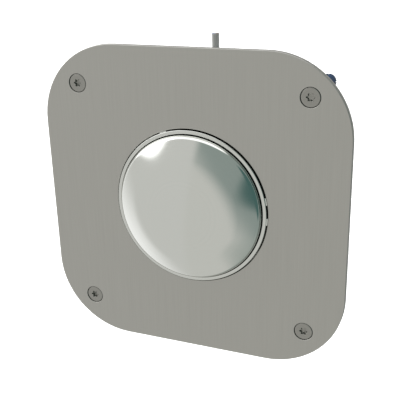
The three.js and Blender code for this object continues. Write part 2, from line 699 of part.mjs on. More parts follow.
// Rear spider: round hub with a raised rim and four ribbed arms to the studs
function rearSpider() {
  const hub = turned([
    [0, SPIDER_FRONT],
    [SPIDER_HUB_RADIUS, SPIDER_FRONT],
    [SPIDER_HUB_RADIUS, SPIDER_REAR + SPIDER_RIM_HEIGHT],
    [SPIDER_HUB_RADIUS - SPIDER_RIM_WIDTH, SPIDER_REAR + SPIDER_RIM_HEIGHT],
    [SPIDER_HUB_RADIUS - SPIDER_RIM_WIDTH, SPIDER_REAR],
    [0, SPIDER_REAR],
  ], RING_SIDES);
  const eighthTurn = Math.PI / 4;
  const added = [];
  for (let arm = 0; arm < 4; arm++) {
    const angle = eighthTurn * (2 * arm + 1);
    for (const part of [spiderArm(), spiderRib(), spiderFillet(1), spiderFillet(-1)]) {
      added.push(part.rotateY(angle));
    }
  }
  const rear = SPIDER_REAR + CUT_OVERRUN;
  const front = SPIDER_FRONT - CUT_OVERRUN;
  const cut = [
    barAlongY(BUSH_RADIUS + FIT_GAP, front, rear, ROD_SIDES),
    ...cornerDrills(STUD_OFFSET, STUD_BORE_RADIUS, front, rear),
    ...footScrewHeights().map((z) =>
      barAlongY(SMALL_BORE_RADIUS, front, rear, SCREW_SIDES).translate(FOOT_SCREW_X, 0, z)),
  ];
  return piece("rear_spider", combined(hub, added, cut), finish.blackNylon);
}

// Flanged bush in which the stem slides; its flange is the rear seat of the spring
function stemBush() {
  const flangeFront = SPIDER_FRONT - BUSH_FLANGE_THICKNESS;
  const profile = [
    [BUSH_BORE_RADIUS, flangeFront],
    [BUSH_FLANGE_RADIUS, flangeFront],
    [BUSH_FLANGE_RADIUS, SPIDER_FRONT],
    [BUSH_RADIUS, SPIDER_FRONT],
    [BUSH_RADIUS, BUSH_REAR - BUSH_CHAMFER],
    [BUSH_RADIUS - BUSH_CHAMFER, BUSH_REAR],
    [BUSH_BORE_RADIUS, BUSH_REAR],
  ];
  return piece("stem_bush", turned(profile, ROD_SIDES), finish.whiteAcetal);
}

// Dome of the cap as a crown and a knuckle that meet without an edge. inset moves both
// inwards by a wall, and the points run from the axis out to the side.
function domeProfile(inset, crownSteps, knuckleSteps) {
  const knuckleCentre = CAP_RADIUS - CAP_KNUCKLE_RADIUS;
  const joinAngle = Math.asin(knuckleCentre / (CAP_CROWN_RADIUS - CAP_KNUCKLE_RADIUS));
  const shoulder = PLATE_FRONT + CAP_SHOULDER_SINK;
  const crownCentre = shoulder + (CAP_CROWN_RADIUS - CAP_KNUCKLE_RADIUS) * Math.cos(joinAngle);
  const crown = CAP_CROWN_RADIUS - inset;
  const knuckle = CAP_KNUCKLE_RADIUS - inset;
  const points = [[0, crownCentre - crown]];
  for (let i = 1; i <= crownSteps; i++) {
    const angle = (joinAngle * i) / crownSteps;
    points.push([crown * Math.sin(angle), crownCentre - crown * Math.cos(angle)]);
  }
  for (let i = 1; i <= knuckleSteps; i++) {
    const angle = joinAngle + ((Math.PI / 2 - joinAngle) * i) / knuckleSteps;
    points.push([knuckleCentre + knuckle * Math.sin(angle), shoulder - knuckle * Math.cos(angle)]);
  }
  return points;
}

// Button cap: domed shell, wiper groove in its side, boss with the stem's socket inside
function buttonCap() {
  const socketRadius = STEM_RADIUS + FIT_GAP;
  const inner = domeProfile(CAP_WALL, 1, INNER_DOME_STEPS)
    .filter(([radius]) => radius > CAP_BOSS_RADIUS)
    .reverse();
  const bossRoot = inner[inner.length - 1][1];
  const profile = [
    ...domeProfile(0, CROWN_STEPS, KNUCKLE_STEPS),
    [CAP_RADIUS, WIPER_CENTRE - GROOVE_HALF_WIDTH],
    [GROOVE_FLOOR_RADIUS, WIPER_CENTRE - GROOVE_HALF_WIDTH],
    [GROOVE_FLOOR_RADIUS, WIPER_CENTRE + GROOVE_HALF_WIDTH],
    [CAP_RADIUS, WIPER_CENTRE + GROOVE_HALF_WIDTH],
    [CAP_RADIUS, CAP_SKIRT_REAR - CAP_REAR_CHAMFER],
    [CAP_RADIUS - CAP_REAR_CHAMFER, CAP_SKIRT_REAR],
    [CAP_RADIUS - CAP_WALL, CAP_SKIRT_REAR],
    ...inner,
    [CAP_BOSS_RADIUS, bossRoot],
    [CAP_BOSS_RADIUS, CAP_BOSS_REAR],
    [socketRadius, CAP_BOSS_REAR],
    [socketRadius, SOCKET_FLOOR],
    [0, SOCKET_FLOOR],
  ];
  return piece("button_cap", turned(profile, RING_SIDES), finish.polishedSteel);
}

function wiperRing() {
  const sectionSteps = 6;
  const centreRadius = BEZEL_BORE_RADIUS - WIPER_GAP - WIPER_SECTION_RADIUS;
  const section = arc(centreRadius, WIPER_CENTRE, WIPER_SECTION_RADIUS, 0, 1, sectionSteps).slice(1);
  return piece("wiper_ring", turned(section, RING_SIDES), finish.blackRubber);
}

// Stem: plain in the bush, grooved for the clip, with a crowned nose for the lever
function buttonStem() {
  const grooveRear = GROOVE_FRONT + STEM_GROOVE_WIDTH;
  const crownCentre = NOSE_TIP - STEM_NOSE_CROWN_RADIUS;
  const crownSteps = 3;
  const edgeAngle = Math.asin(STEM_NOSE_RADIUS / STEM_NOSE_CROWN_RADIUS);
  const profile = [
    [0, SOCKET_FLOOR + FIT_GAP],
    [STEM_RADIUS, SOCKET_FLOOR + FIT_GAP],
    [STEM_RADIUS, GROOVE_FRONT],
    [STEM_GROOVE_RADIUS, GROOVE_FRONT],
    [STEM_GROOVE_RADIUS, grooveRear],
    [STEM_RADIUS, grooveRear],
    [STEM_RADIUS, grooveRear + STEM_SHOULDER_LENGTH / 2],
  ];
  for (let i = crownSteps; i >= 1; i--) {
    const angle = (edgeAngle * i) / crownSteps;
    profile.push([
      STEM_NOSE_CROWN_RADIUS * Math.sin(angle),
      crownCentre + STEM_NOSE_CROWN_RADIUS * Math.cos(angle),
    ]);
  }
  profile.push([0, NOSE_TIP]);
  return piece("button_stem", turned(profile, ROD_SIDES), finish.turnedSteel);
}

function stopWasher() {
  const profile = [
    [STEM_RADIUS + FIT_GAP, WASHER_FRONT],
    [WASHER_RADIUS, WASHER_FRONT],
    [WASHER_RADIUS, WASHER_REAR],
    [STEM_RADIUS + FIT_GAP, WASHER_REAR],
  ];
  return piece("stop_washer", turned(profile, ROD_SIDES), finish.blackNylon);
}

// E-clip: open below, with three lugs that grip the groove
function stemClip() {
  const lugRadius = STEM_GROOVE_RADIUS + RUNNING_GAP;
  const mouthShares = [-0.17, 0.67];
  const lugShares = [[-0.17, -0.1], [0.2, 0.3], [0.6, 0.67]];
  const outline = arc(0, 0, CLIP_RADIUS, mouthShares[0], mouthShares[1], ROD_SIDES);
  for (const [from, to] of lugShares.toReversed()) {
    outline.push(...arc(0, 0, lugRadius, to, from, 2));
    if (from > mouthShares[0]) {
      const next = lugShares[lugShares.findIndex((lug) => lug[0] === from) - 1];
      outline.push(...arc(0, 0, CLIP_POCKET_RADIUS, from, next[1], FILLET_STEPS + 1));
    }
  }
  return piece("stem_clip", slabAlongY(shapeOf(outline), CLIP_FRONT, CLIP_THICKNESS), finish.springSteel);
}

// The spring's wire as rings of points about its centreline, capped at both ends
function wireGeometry(centres, tangents, radius) {
  const axis = new THREE.Vector3(0, 1, 0);
  const positions = [];
  const index = [];
  centres.forEach((centre, i) => {
    const sideways = new THREE.Vector3().crossVectors(axis, tangents[i]).normalize();
    const upright = new THREE.Vector3().crossVectors(tangents[i], sideways);
    for (let k = 0; k < WIRE_SIDES; k++) {
      const angle = (2 * Math.PI * k) / WIRE_SIDES;
      const point = centre.clone()
        .addScaledVector(sideways, radius * Math.cos(angle))
        .addScaledVector(upright, radius * Math.sin(angle));
      positions.push(point.x, point.y, point.z);
    }
  });
  const last = (centres.length - 1) * WIRE_SIDES;
  for (let start = 0; start < last; start += WIRE_SIDES) {
    for (let k = 0; k < WIRE_SIDES; k++) {
      const a = start + k;
      const b = start + ((k + 1) % WIRE_SIDES);
      index.push(a, b, a + WIRE_SIDES, b, b + WIRE_SIDES, a + WIRE_SIDES);
    }
  }
  for (let k = 1; k < WIRE_SIDES - 1; k++) {
    index.push(0, k + 1, k);
    index.push(last, last + k, last + k + 1);
  }
  const geometry = new THREE.BufferGeometry();
  geometry.setAttribute("position", new THREE.Float32BufferAttribute(positions, 3));
  geometry.setIndex(index);
  geometry.computeVertexNormals();
  return geometry;
}

// Height along the spring after a number of turns: slow in the end turns, even between
function springRise(turns, height) {
  const endRise = SPRING_END_TURNS * SPRING_END_PITCH;
  const middleTurns = SPRING_TURNS - 2 * SPRING_END_TURNS;
  const middlePitch = (height - 2 * endRise) / middleTurns;
  const inFirst = Math.min(turns, SPRING_END_TURNS);
  const inMiddle = Math.min(Math.max(turns - SPRING_END_TURNS, 0), middleTurns);
  const inLast = Math.max(turns - SPRING_END_TURNS - middleTurns, 0);
  return (inFirst + inLast) * SPRING_END_PITCH + inMiddle * middlePitch;
}

// Centreline of the spring, with a straight end of one wire diameter at each end
function springCentres(stepsPerTurn) {
  const front = CAP_BOSS_REAR + FIT_GAP + SPRING_WIRE_RADIUS;
  const rear = SPIDER_FRONT - BUSH_FLANGE_THICKNESS - FIT_GAP - SPRING_WIRE_RADIUS;
  const steps = Math.round(SPRING_TURNS * stepsPerTurn);
  const helix = [];
  for (let i = 0; i <= steps; i++) {
    const turns = (SPRING_TURNS * i) / steps;
    const angle = 2 * Math.PI * turns;
    helix.push(new THREE.Vector3(
      SPRING_MEAN_RADIUS * Math.cos(angle),
      front + springRise(turns, rear - front),
      SPRING_MEAN_RADIUS * Math.sin(angle),
    ));
  }
  const straight = 2 * SPRING_WIRE_RADIUS;
  const lastAngle = 2 * Math.PI * SPRING_TURNS;
  const entry = new THREE.Vector3(0, 0, -1);
  const exit = new THREE.Vector3(-Math.sin(lastAngle), 0, Math.cos(lastAngle));
  return [
    helix[0].clone().addScaledVector(entry, straight),
    ...helix,
    helix[steps].clone().addScaledVector(exit, straight),
  ];
}

// Least distance between the surfaces of neighbouring curls, measured on points
function leastCurlGap() {
  const finePerTurn = 60;
  const centres = springCentres(finePerTurn).slice(1, -1);
  const apart = Math.round(finePerTurn / 2);
  let least = Infinity;
  for (let i = 0; i < centres.length; i++) {
    for (let k = i + apart; k < centres.length; k++) {
      least = Math.min(least, centres[i].distanceTo(centres[k]));
    }
  }
  return least - 2 * SPRING_WIRE_RADIUS;
}

function returnSpring() {
  const centres = springCentres(WIRE_STEPS_PER_TURN);
  const tangents = centres.map((_, i) => {
    const before = centres[Math.max(i - 1, 0)];
    const after = centres[Math.min(i + 1, centres.length - 1)];
    return new THREE.Vector3().subVectors(after, before).normalize();
  });
  console.log(`return spring: least gap between curls ${leastCurlGap().toFixed(2)} mm`);
  return piece("return_spring", wireGeometry(centres, tangents, SPRING_WIRE_RADIUS), finish.springSteel);
}

// The two holes through the case lie on a diagonal, one rear below and one front above.
function switchHoles() {
  return [[SWITCH_HOLE_REAR, SWITCH_HOLE_LOW], [SWITCH_HOLE_FRONT, SWITCH_HOLE_HIGH]];
}

// One hinge ear on the case, round about the pivot
function hingeEar(left) {
  const outline = [
    ...arc(PIVOT_Y, PIVOT_Z, EAR_RADIUS, 0.25, 0.75, 6),
    [SWITCH_FRONT + SWITCH_EDGE_BREAK * 2, PIVOT_Z - EAR_RADIUS],
    [SWITCH_FRONT + SWITCH_EDGE_BREAK * 2, PIVOT_Z + EAR_RADIUS],
  ];
  return slabAlongX(shapeOf(outline), left, EAR_THICKNESS);
}

function switchCase() {
  const outline = roundedRectangle(
    SWITCH_FRONT, SWITCH_LOW, SWITCH_REAR, SWITCH_TOP, SWITCH_CORNER_RADIUS, FILLET_STEPS,
  );
  const body = slabAlongX(shapeOf(outline), -SWITCH_WIDTH / 2, SWITCH_WIDTH, SWITCH_EDGE_BREAK);
  const reach = SWITCH_WIDTH / 2 + CUT_OVERRUN;
  const screwHoles = switchHoles().map(([y, z]) =>
    barAlongX(SMALL_BORE_RADIUS, -reach, reach, SCREW_SIDES).translate(0, y, z));
  const pinHole = barAlongX(LEVER_PIN_RADIUS + RUNNING_GAP, -reach, reach, PLUG_SIDES)
    .translate(0, PIVOT_Y, PIVOT_Z);
  const boreRear = SWITCH_FRONT + PLUNGER_BORE_DEPTH;
  const plungerBore = barAlongY(
    PLUNGER_RADIUS + FIT_GAP, SWITCH_FRONT - CUT_OVERRUN, boreRear, SCREW_SIDES,
  ).translate(0, 0, PIVOT_Z + PLUNGER_ARM);
  const cut = [...screwHoles, pinHole, plungerBore];
  const ears = [hingeEar(EAR_INNER), hingeEar(-EAR_INNER - EAR_THICKNESS)];
  return piece("switch_case", combined(body, ears, cut), finish.switchCase);
}

function switchPlunger() {
  const steps = 3;
  const crownCentre = PLUNGER_TIP + PLUNGER_CROWN_RADIUS;
  const edgeAngle = Math.asin(PLUNGER_RADIUS / PLUNGER_CROWN_RADIUS);
  const profile = [[0, PLUNGER_TIP]];
  for (let i = 1; i <= steps; i++) {
    const angle = (edgeAngle * i) / steps;
    profile.push([
      PLUNGER_CROWN_RADIUS * Math.sin(angle),
      crownCentre - PLUNGER_CROWN_RADIUS * Math.cos(angle),
    ]);
  }
  profile.push([PLUNGER_RADIUS, PLUNGER_TIP + PLUNGER_LENGTH], [0, PLUNGER_TIP + PLUNGER_LENGTH]);
  const mesh = piece("switch_plunger", turned(profile, SCREW_SIDES), finish.redPlunger);
  mesh.position.z = PIVOT_Z + PLUNGER_ARM;
  return mesh;
}

// Lever: a leaf rolled into a knuckle about the pin, drawn lying flat over the switch
function switchLever() {
  const length = LEVER_ARM + LEVER_TAIL;
  const left = -LEVER_WIDTH / 2;
  const leaf = roundedRectangle(
    LEVER_FRONT_OFFSET, 0, LEVER_KNUCKLE_RADIUS, length, LEVER_THICKNESS / 3, 1,
  );
  const knuckle = barAlongX(LEVER_KNUCKLE_RADIUS, left, -left, SCREW_SIDES);
  const drill = barAlongX(
    LEVER_PIN_RADIUS + RUNNING_GAP, left - CUT_OVERRUN, CUT_OVERRUN - left, PLUG_SIDES,
  );
  const leafSolid = slabAlongX(shapeOf(leaf), left, LEVER_WIDTH);
  const mesh = piece("switch_lever", combined(knuckle, [leafSolid], [drill]), finish.springSteel);
  mesh.position.set(0, PIVOT_Y, PIVOT_Z);
  mesh.rotation.x = LEVER_REST_ANGLE;
  return mesh;
}

function leverPin() {
  const half = EAR_INNER + EAR_THICKNESS;
  const mesh = piece("lever_pin", barAlongX(LEVER_PIN_RADIUS, -half, half, PLUG_SIDES), finish.springSteel);
  mesh.position.set(0, PIVOT_Y, PIVOT_Z);
  return mesh;
}

// Heights of the three blades: common lowest, then closed, then open
function bladeHeight(number) {
  return SWITCH_LOW + BLADE_INSET + number * BLADE_SPACING;
}

function terminals() {
  const half = BLADE_WIDTH / 2;
  const tip = SWITCH_REAR + BLADE_LENGTH;
  const outline = [
    [SWITCH_REAR, -half],
    [tip - BLADE_TIP_CHAMFER, -half],
    [tip, BLADE_TIP_CHAMFER - half],
    [tip, half - BLADE_TIP_CHAMFER],
    [tip - BLADE_TIP_CHAMFER, half],
    [SWITCH_REAR, half],
  ];
  const blade = slabAlongX(shapeOf(outline), -BLADE_THICKNESS / 2, BLADE_THICKNESS);
  return ["terminal_common", "terminal_closed", "terminal_open"].map((name, number) => {
    const mesh = piece(name, blade, finish.brass);
    mesh.position.z = bladeHeight(number);
    return mesh;
  });
}

// Insulated flag connectors, pushed on the common and the open blade
function flagConnectors() {
  const halfHeight = CONNECTOR_HEIGHT / 2;
  const outline = roundedRectangle(
    CONNECTOR_FRONT, -halfHeight, CONNECTOR_FRONT + CONNECTOR_DEPTH, halfHeight, CONNECTOR_EDGE_BREAK, 2,
  );
  const body = slabAlongX(
    shapeOf(outline), -CONNECTOR_WIDTH / 2, CONNECTOR_WIDTH, CONNECTOR_EDGE_BREAK / 2,
  );
  const slotX = BLADE_THICKNESS / 2 + FIT_GAP;
  const slotZ = BLADE_WIDTH / 2 + FIT_GAP;
  const slot = block(
    -slotX, CONNECTOR_FRONT - CUT_OVERRUN, -slotZ, slotX, SWITCH_REAR + BLADE_LENGTH + FIT_GAP, slotZ,
  );
  const geometry = combined(body, [], [slot]);
  return [0, 2].map((number, index) => {
    const mesh = piece(`flag_connector_${index + 1}`, geometry, finish.redSleeve);
    mesh.position.z = bladeHeight(number);
    return mesh;
  });
}

// A small slotted pan-head screw along +y, head at negative y, seated at zero
function smallScrew(length) {
  const body = turned([
    [0, -SMALL_HEAD_HEIGHT],
    [SMALL_HEAD_RADIUS - SMALL_HEAD_CHAMFER, -SMALL_HEAD_HEIGHT],
    [SMALL_HEAD_RADIUS, SMALL_HEAD_CHAMFER - SMALL_HEAD_HEIGHT],
    [SMALL_HEAD_RADIUS, 0],
    [SMALL_SHANK_RADIUS, 0],
    [SMALL_SHANK_RADIUS, length],
    [0, length],
  ], SCREW_SIDES);
  const reach = SMALL_HEAD_RADIUS + CUT_OVERRUN;
  const slot = block(
    -reach, -SMALL_HEAD_HEIGHT - CUT_OVERRUN, -SMALL_SLOT_WIDTH / 2,
    reach, SMALL_SLOT_DEPTH - SMALL_HEAD_HEIGHT, SMALL_SLOT_WIDTH / 2,
  );
  return combined(body, [], [slot]);
}

function footScrewHeights() {
  return [BRACKET_FOOT_LOW + BRACKET_FOOT_SCREW_INSET, BRACKET_FOOT_HIGH - BRACKET_FOOT_SCREW_INSET];
}

// Bracket: a foot on the spider, bent up into a wall beside the switch, with a tab for the clip
function switchBracket() {
  const footRear = SPIDER_REAR + SHEET_THICKNESS;
  const wallRear = SWITCH_REAR - SHEET_THICKNESS;
  const angleProfile = [
    [BRACKET_FACE - BRACKET_FOOT_LENGTH, SPIDER_REAR],
    ...arc(BRACKET_FACE - BEND_RADIUS, SPIDER_REAR + BEND_RADIUS, BEND_RADIUS, 0.75, 1, FILLET_STEPS),
    [BRACKET_FACE, wallRear],
    [BRACKET_BACK, wallRear],
    [BRACKET_BACK, footRear],
    [BRACKET_FACE - BRACKET_FOOT_LENGTH, footRear],
  ];
  const angle = extruded(shapeOf(angleProfile), BRACKET_FOOT_HIGH - BRACKET_FOOT_LOW)
    .translate(0, 0, BRACKET_FOOT_LOW);
  const wallFront = SWITCH_FRONT - SHEET_THICKNESS;
  const wall = slabAlongX(shapeOf(roundedRectangle(
    wallFront, SWITCH_LOW, wallRear, BRACKET_FOOT_HIGH, BRACKET_CORNER_RADIUS, FILLET_STEPS,
  )), BRACKET_BACK, SHEET_THICKNESS);
  const tabFront = LEAD_DEPTH - LEAD_RADIUS - FIT_GAP - CLAMP_WALL - SHEET_THICKNESS;
  const tab = slabAlongX(shapeOf(roundedRectangle(
    tabFront, BRACKET_TAB_LOW, tabFront + CLAMP_FOOT_LENGTH + SHEET_THICKNESS, BRACKET_TAB_TOP,
    BRACKET_CORNER_RADIUS, FILLET_STEPS,
  )), BRACKET_BACK, SHEET_THICKNESS);
  const reliefRear = CLIP_FRONT + CLIP_THICKNESS + TRAVEL + BRACKET_RELIEF_GAP;
  const cut = [
    barAlongY(WASHER_RADIUS + BRACKET_RELIEF_GAP, SPIDER_REAR - CUT_OVERRUN, reliefRear, ROD_SIDES),
    ...footScrewHeights().map((z) =>
      barAlongY(SMALL_BORE_RADIUS, SPIDER_REAR - CUT_OVERRUN, footRear + CUT_OVERRUN, SCREW_SIDES)
        .translate(FOOT_SCREW_X, 0, z)),
    ...[...switchHoles(), [CLAMP_SCREW_DEPTH, CLAMP_MIDDLE]].map(([y, z]) =>
      barAlongX(SMALL_BORE_RADIUS, BRACKET_BACK - CUT_OVERRUN, BRACKET_FACE + CUT_OVERRUN, SCREW_SIDES)
        .translate(0, y, z)),
  ];
  return piece("switch_bracket", combined(angle, [wall, tab], cut), finish.zincSteel);
}

function bracketScrews() {
  const geometry = smallScrew(SHEET_THICKNESS + SPIDER_THICKNESS).rotateX(Math.PI);
  return footScrewHeights().map((z, index) => {
    const mesh = piece(`bracket_screw_${index + 1}`, geometry, finish.zincSteel);
    mesh.position.set(FOOT_SCREW_X, SPIDER_REAR + SHEET_THICKNESS, z);
    return mesh;
  });
}

// Long screws through the case and the bracket wall, with a nut behind the wall
function switchScrewsAndNuts() {
  const length = SWITCH_WIDTH + SHEET_THICKNESS + SMALL_NUT_HEIGHT + SMALL_SCREW_TAIL;
  const screw = smallScrew(length).rotateZ(Math.PI / 2);
  const drill = barAlongX(SMALL_BORE_RADIUS, -CUT_OVERRUN - SMALL_NUT_HEIGHT, CUT_OVERRUN, SCREW_SIDES);
  const nutBody = slabAlongX(
    shapeOf(hexagon(SMALL_NUT_ACROSS_FLATS)), -SMALL_NUT_HEIGHT, SMALL_NUT_HEIGHT,
  );
  const nut = combined(nutBody, [], [drill]);
  return switchHoles().flatMap(([y, z], index) => {
    const screwMesh = piece(`switch_screw_${index + 1}`, screw, finish.zincSteel);
    screwMesh.position.set(SWITCH_WIDTH / 2, y, z);
    const nutMesh = piece(`switch_nut_${index + 1}`, nut, finish.zincSteel);
    nutMesh.position.set(BRACKET_BACK, y, z);
    return [screwMesh, nutMesh];
  });
}

// Lead clip: a loop round the sheath, a neck and a foot on the bracket's tab
function leadClip() {
  const boreRadius = LEAD_RADIUS + FIT_GAP;
  const loopRadius = boreRadius + CLAMP_WALL;
  const loopSteps = 18;
  const footX = BRACKET_FACE + CLAMP_FOOT_THICKNESS;
  const footFront = LEAD_DEPTH - loopRadius;
  const loop = extruded(shapeOf(arc(0, LEAD_DEPTH, loopRadius, 0, 1, loopSteps).slice(1)), CLAMP_WIDTH);
  const foot = block(BRACKET_FACE, footFront, 0, footX, footFront + CLAMP_FOOT_LENGTH, CLAMP_WIDTH);
  const neckHalf = loopRadius - CLAMP_WALL / 2;
  const neck = block(
    BRACKET_FACE, LEAD_DEPTH - neckHalf, 0, -boreRadius / 2, LEAD_DEPTH + neckHalf, CLAMP_WIDTH,
  );
  const bore = extruded(
    shapeOf(arc(0, LEAD_DEPTH, boreRadius, 0, 1, loopSteps).slice(1)), CLAMP_WIDTH + 2 * CUT_OVERRUN,
  ).translate(0, 0, -CUT_OVERRUN);
  const drill = barAlongX(SMALL_BORE_RADIUS, BRACKET_FACE - CUT_OVERRUN, footX + CUT_OVERRUN, SCREW_SIDES)
    .translate(0, CLAMP_SCREW_DEPTH, CLAMP_WIDTH / 2);
  const mesh = piece("lead_clip", combined(loop, [neck, foot], [bore, drill]), finish.blackNylon);
  mesh.position.z = CLAMP_LOW;
  return mesh;
}

function clipScrew() {
  const length = CLAMP_FOOT_THICKNESS + SHEET_THICKNESS + SMALL_SCREW_TAIL;
  const mesh = piece("clip_screw", smallScrew(length).rotateZ(Math.PI / 2), finish.zincSteel);
  mesh.position.set(BRACKET_FACE + CLAMP_FOOT_THICKNESS, CLAMP_SCREW_DEPTH, CLAMP_MIDDLE);
  return mesh;
}

// A round wire drawn along a route of points
function wireAlong(route, radius, steps) {
  const path = new THREE.CatmullRomCurve3(route.map(([x, y, z]) => new THREE.Vector3(x, y, z)));
  const section = shapeOf(arc(0, 0, radius, 0, 1, CORE_SIDES).slice(1));
  return new THREE.ExtrudeGeometry(section, { steps, bevelEnabled: false, extrudePath: path });
}

// The lead stands straight up behind the plate and ends in a square cut
function lead() {
  const top = PLATE_HALF_WIDTH + LEAD_PROUD;
  const route = [[0, LEAD_DEPTH, LEAD_STRIPPED_END], [0, LEAD_DEPTH, top]];
  return piece("lead", wireAlong(route, LEAD_RADIUS, 3), finish.greySheath);
}

// The two cores leave the sheath, bend round the switch and end at the connectors
function cores() {
  const start = LEAD_STRIPPED_END - FIT_GAP;
  const side = CORE_SPACING / 2;
  const passX = CONNECTOR_WIDTH / 2 + 2 * CORE_RADIUS + FIT_GAP;
  const straight = 2 * CORE_RADIUS;
  const openRoute = [
    [-side, LEAD_DEPTH, start],
    [-side, LEAD_DEPTH, start - straight],
    [-side, LEAD_DEPTH + 2.5 * CORE_SPACING, start - 1.5 * CORE_SPACING],
    [-side, LEAD_DEPTH + 8 * CORE_SPACING, start - 1.2 * CORE_SPACING],
    [0, CORE_ENTRY_DEPTH - CORE_SPACING, start - 1.1 * CORE_SPACING],
    [0, CORE_ENTRY_DEPTH, OPEN_CORE_END + straight],
    [0, CORE_ENTRY_DEPTH, OPEN_CORE_END],
  ];
  const commonRoute = [
    [side, LEAD_DEPTH, start],
    [side, LEAD_DEPTH, start - straight],
    [side + CORE_SPACING, LEAD_DEPTH + 3 * CORE_SPACING, start - 1.3 * CORE_SPACING],
    [passX, LEAD_DEPTH + 8 * CORE_SPACING, start - CORE_SPACING],
    [passX + CORE_RADIUS, CORE_ENTRY_DEPTH - CORE_SPACING, start - 3 * CORE_SPACING],
    [passX, CORE_ENTRY_DEPTH, bladeHeight(2)],
    [passX, CORE_ENTRY_DEPTH, bladeHeight(1)],
    [0.8 * passX, CORE_ENTRY_DEPTH, bladeHeight(1) - BLADE_WIDTH / 2 - CORE_RADIUS],
    [0, CORE_ENTRY_DEPTH, COMMON_CORE_END + straight],
    [0, CORE_ENTRY_DEPTH, COMMON_CORE_END],
  ];
  return [
    piece("core_open", wireAlong(openRoute, CORE_RADIUS, 16), finish.brownCore),
    piece("core_common", wireAlong(commonRoute, CORE_RADIUS, 26), finish.blueCore),
  ];
}

function group(...parts) {
  const made = new THREE.Group();
  made.add(...parts.flat());
  return made;
}

const panel = group(facePlate(), plateGasket(), fixingScrews(), wallPlugs());
const collar = group(bezelRing(), guideLiner(), flangeSeal());
const carrier = group(weldStuds(), spacerTubes(), flangeNuts(), rearSpider(), stemBush());
const button = group(buttonCap(), wiperRing(), buttonStem(), stopWasher(), stemClip(), returnSpring());
const microswitch = group(switchCase(), switchPlunger(), switchLever(), leverPin(), terminals());
const mounting = group(switchBracket(), bracketScrews(), switchScrewsAndNuts());
const wiring = group(lead(), leadClip(), clipScrew(), cores(), flagConnectors());

export default group(panel, collar, carrier, button, microswitch, mounting, wiring);
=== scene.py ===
"""Pedestrian push button on a square stainless plate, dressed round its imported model.

The object faces -Y with +Z up, and the mechanism lies behind the plate at positive y.
Sizes are in millimetres and become metres where a mesh is made. Each sub-assembly is a
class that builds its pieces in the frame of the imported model, so a piece needs no fitting.
"""

import logging
import math
from collections.abc import Callable
from dataclasses import dataclass
from enum import Enum
from functools import cache

import bmesh
import bpy
from mathutils import Matrix, Vector


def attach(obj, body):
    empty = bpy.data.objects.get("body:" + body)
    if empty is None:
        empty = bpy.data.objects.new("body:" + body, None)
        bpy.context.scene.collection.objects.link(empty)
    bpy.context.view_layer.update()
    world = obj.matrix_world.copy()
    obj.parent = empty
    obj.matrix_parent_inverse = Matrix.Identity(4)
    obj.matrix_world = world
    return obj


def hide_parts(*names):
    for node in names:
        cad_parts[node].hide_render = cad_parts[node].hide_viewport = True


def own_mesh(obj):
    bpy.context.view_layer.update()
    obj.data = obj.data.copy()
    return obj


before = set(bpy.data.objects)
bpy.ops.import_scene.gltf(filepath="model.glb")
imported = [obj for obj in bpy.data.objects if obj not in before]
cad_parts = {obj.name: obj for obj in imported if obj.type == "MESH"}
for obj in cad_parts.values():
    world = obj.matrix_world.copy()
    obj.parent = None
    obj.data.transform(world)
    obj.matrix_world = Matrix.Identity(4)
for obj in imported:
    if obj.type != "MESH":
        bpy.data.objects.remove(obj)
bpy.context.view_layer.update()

MM = 0.001
# Below this radius a ring is one point on the axis
AXIS_RADIUS = 1e-6
# Faces round a large ring, a turned bar, a rod and a small rod
RING_SIDES = 160
BAR_SIDES = 96
ROD_SIDES = 48
SMALL_SIDES = 32
# Faces across a rounded edge
EDGE_STEPS = 4
# Lobes of the security screws' recess
LOBES = 6
# Height of a thread's ridge as a share of its pitch
RIDGE_SHARE = 0.36
# Degrees by which an edge turns before it stays crisp
CREASE = 32
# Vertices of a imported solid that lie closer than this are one
WELD = 0.002
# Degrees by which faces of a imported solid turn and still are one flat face
FLAT_TURN = 0.5
# Degrees by which an outline turns before its corner is rounded
KEPT_TURN = 20
# Length of a brushed line as a multiple of the lines' spacing
LINE_LENGTH = 60

Point2 = tuple[float, float]
Point3 = tuple[float, float, float]
Ring = list[Point3]

log = logging.getLogger("push_button")


def linear(colour: str) -> tuple[float, float, float, float]:
    """Turns an sRGB hex colour into the linear colour that a shader takes.

    Args:
        colour: Six hex digits, such as "9a9993".

    Returns:
        Red, green, blue and full alpha, linear.
    """
    parts = [int(colour[i:i + 2], 16) / 255 for i in (0, 2, 4)]
    red, green, blue = [
        part / 12.92 if part <= 0.04045 else ((part + 0.055) / 1.055) ** 2.4 for part in parts
    ]
    return red, green, blue, 1.0


def add(
    tree: bpy.types.NodeTree, kind: str, inputs: dict | None = None, **settings: object
) -> bpy.types.Node:
    """Adds one node to a tree with its settings, values and links.

    Args:
        tree: The node tree.
        kind: The node's type name.
        inputs: By socket name or number, a value or another node's output socket.
        **settings: Attributes of the node, set before its inputs.

    Returns:
        The new node.
    """
    node = tree.nodes.new(kind)
    for name, value in settings.items():
        setattr(node, name, value)
    for name, value in (inputs or {}).items():
        if isinstance(value, bpy.types.NodeSocket):
            tree.links.new(value, node.inputs[name])
        else:
            node.inputs[name].default_value = value
    return node


class Grain(Enum):
    """The pattern that the making leaves on a surface."""

    BRUSHED = "straight lines of an abrasive belt, upright"
    TURNED = "rings about the button's axis"
    TURNED_CORNERS = "rings about each of four corner axes"
    PLAIN = "an even, fine grain"


